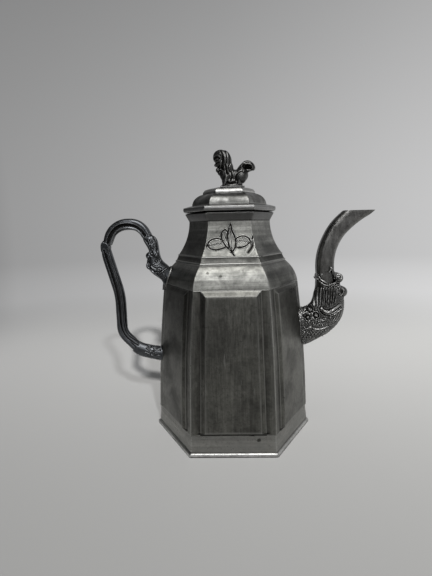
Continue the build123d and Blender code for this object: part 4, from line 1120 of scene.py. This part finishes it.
# the tone of the paper in a direction: darker to the left, above and behind the viewer
paper, given, filled = shaderGroup("paperTone", {"Direction": None}, ["Colour"])
heading = vectorNode(paper, "NORMALIZE", given["Direction"])
heading = node(paper, "SeparateXYZ", {0: heading}).outputs
sideways = node(paper, "ValToRGB", {"Fac": mathNode(paper, "MULTIPLY_ADD", heading["X"], 0.5, 0.5)})
stops = sideways.color_ramp.elements
while len(stops) < len(stage["horizon"]):
    stops.new(0.5)
for stop, (x, tone) in zip(stops, stage["horizon"]):
    stop.position = (x + 1) / 2
    stop.color = (tone, tone, tone * 1.004, 1)
share = mathNode(
    paper, "MULTIPLY", ramp(paper, heading["Z"], 0.0, 0.95, 1.0, stage["upperShare"]),
    ramp(paper, heading["Y"], -0.5, 0.35, stage["frontShare"], 1.0),
)
paper.links.new(vectorNode(paper, "SCALE", sideways.outputs["Color"], scale=share), filled["Colour"])

bm = bmesh.new()
bmesh.ops.create_grid(bm, x_segments=2, y_segments=2, size=4.0)
floorMesh = bpy.data.meshes.new("floor")
bm.to_mesh(floorMesh)
bm.free()
floor = placed("floor", floorMesh)
floorMaterial = bpy.data.materials.new("floorPaper")
floorMaterial.use_nodes = True
tree = floorMaterial.node_tree
spot = node(tree, "TexCoord").outputs["Object"]
spread = node(tree, "SeparateXYZ", {0: spot}).outputs
# painted shade: the paper's colour is darker on the left than on the right
across = ramp(tree, spread["X"], -stage["floorSpread"], stage["floorSpread"])
# painted shade: the paper's colour darkens close by the viewer and far to the left
paintedShadeShare = mathNode(
    tree, "MULTIPLY", ramp(tree, spread["Y"], *stage["nearRun"], stage["nearShare"], 1.0),
    ramp(tree, spread["X"], *stage["leftRun"], stage["leftShare"], 1.0),
)
tone = vectorNode(tree, "SCALE", blendColour(tree, across, stage["floorLeft"], stage["floorRight"]), scale=paintedShadeShare)
near = tree.nodes["Principled BSDF"]
tree.links.new(tone, near.inputs["Base Color"])
near.inputs["Roughness"].default_value = 0.8
near.inputs["Specular IOR Level"].default_value = 0.2
seenFrom = vectorNode(tree, "ADD", spot, stage["farLean"])
farTone = node(tree, "Group", {"Direction": seenFrom}, node_tree=paper).outputs["Colour"]
reach = vectorNode(tree, "LENGTH", spot)
glow = ramp(tree, reach, *stage["glowRun"], stage["farGlow"], 1.0)
far = node(tree, "Emission", {"Color": farTone, "Strength": glow})
fade = ramp(tree, reach, *stage["farRun"])
merged = node(tree, "MixShader", {0: fade, 1: near.outputs[0], 2: far.outputs[0]})
tree.links.new(merged.outputs[0], tree.nodes["Material Output"].inputs["Surface"])
floorMesh.materials.append(floorMaterial)

world = bpy.data.worlds.new("studio")
bpy.context.scene.world = world
world.use_nodes = True
tree = world.node_tree
ambient = tree.nodes["Background"]
ambient.inputs["Color"].default_value = (0.98, 0.99, 1.0, 1)
ambient.inputs["Strength"].default_value = stage["ambient"]
# the eye and the metal's mirroring see the paper's tone all round; the floor is lit by the ambient light
heading = node(tree, "TexCoord").outputs["Generated"]
skyTone = node(tree, "Group", {"Direction": heading}, node_tree=paper).outputs["Colour"]
seen = node(tree, "Background", {"Color": skyTone, "Strength": 1.0})
rays = node(tree, "LightPath").outputs
shown = mathNode(tree, "MAXIMUM", rays["Is Camera Ray"], rays["Is Glossy Ray"])
shown = mathNode(tree, "MAXIMUM", shown, rays["Is Transmission Ray"])
both = node(tree, "MixShader", {0: shown, 1: ambient.outputs[0], 2: seen.outputs[0]})
tree.links.new(both.outputs[0], tree.nodes["World Output"].inputs["Surface"])


def softbox(name, place, target, size, power, colour):
    lamp = bpy.data.lights.new(name, "AREA")
    lamp.shape = "RECTANGLE"
    lamp.size, lamp.size_y = size
    lamp.energy = power
    lamp.color = colour
    holder = placed(name, lamp)
    holder.location = place
    holder.rotation_euler = (Vector(target) - Vector(place)).to_track_quat("-Z", "Y").to_euler()
    return holder


# three soft panels for the metal to mirror
for name, place, size, power, colour in (
    ("overhead", (0.04, -0.36, 0.98), (0.5, 0.4), 2.3, (1.0, 0.99, 0.97)),
    ("frontAbove", (0.06, -0.72, 0.92), (0.8, 0.32), 4.3, (0.99, 0.99, 1.0)),
    ("frontLow", (0.05, -1.05, 0.55), (0.9, 0.5), 1.9, (0.99, 0.99, 1.0)),
):
    softbox(name, place, (0, 0, 0.15), size, power, colour).visible_diffuse = False
# two small lamps light the floor and cast the shadows behind the handle; metal doesn't mirror them
for name, place, power, colour in (
    ("shadowKey", (0.30, -2.21, 1.32), 74.0, (1.0, 0.985, 0.97)),
    ("shadowSide", (0.58, -2.05, 1.37), 25.0, (0.97, 0.985, 1.0)),
):
    softbox(name, place, (0, 0, 0.1), (0.12, 0.12), power, colour).visible_glossy = False

view = {
    "place": (-0.00075, -0.33539, 0.17007), "forward": (-0.034, 0.9881, -0.1499), "roll": -1.36, "lens": 25.3,
}
camera = bpy.data.cameras.new("camera")
camera.sensor_fit = "AUTO"
camera.sensor_width = 36.0
camera.lens = view["lens"]
camera.clip_start = 0.01
cameraHolder = placed("camera", camera)
aim = Vector(view["forward"]).normalized().to_track_quat("-Z", "Y").to_matrix()
cameraHolder.matrix_world = Matrix.Translation(view["place"]) @ (
    aim @ Matrix.Rotation(math.radians(view["roll"]), 3, "Z")
).to_4x4()
bpy.context.scene.camera = cameraHolder
bpy.context.scene.view_settings.view_transform = "Standard"
print("camera set")
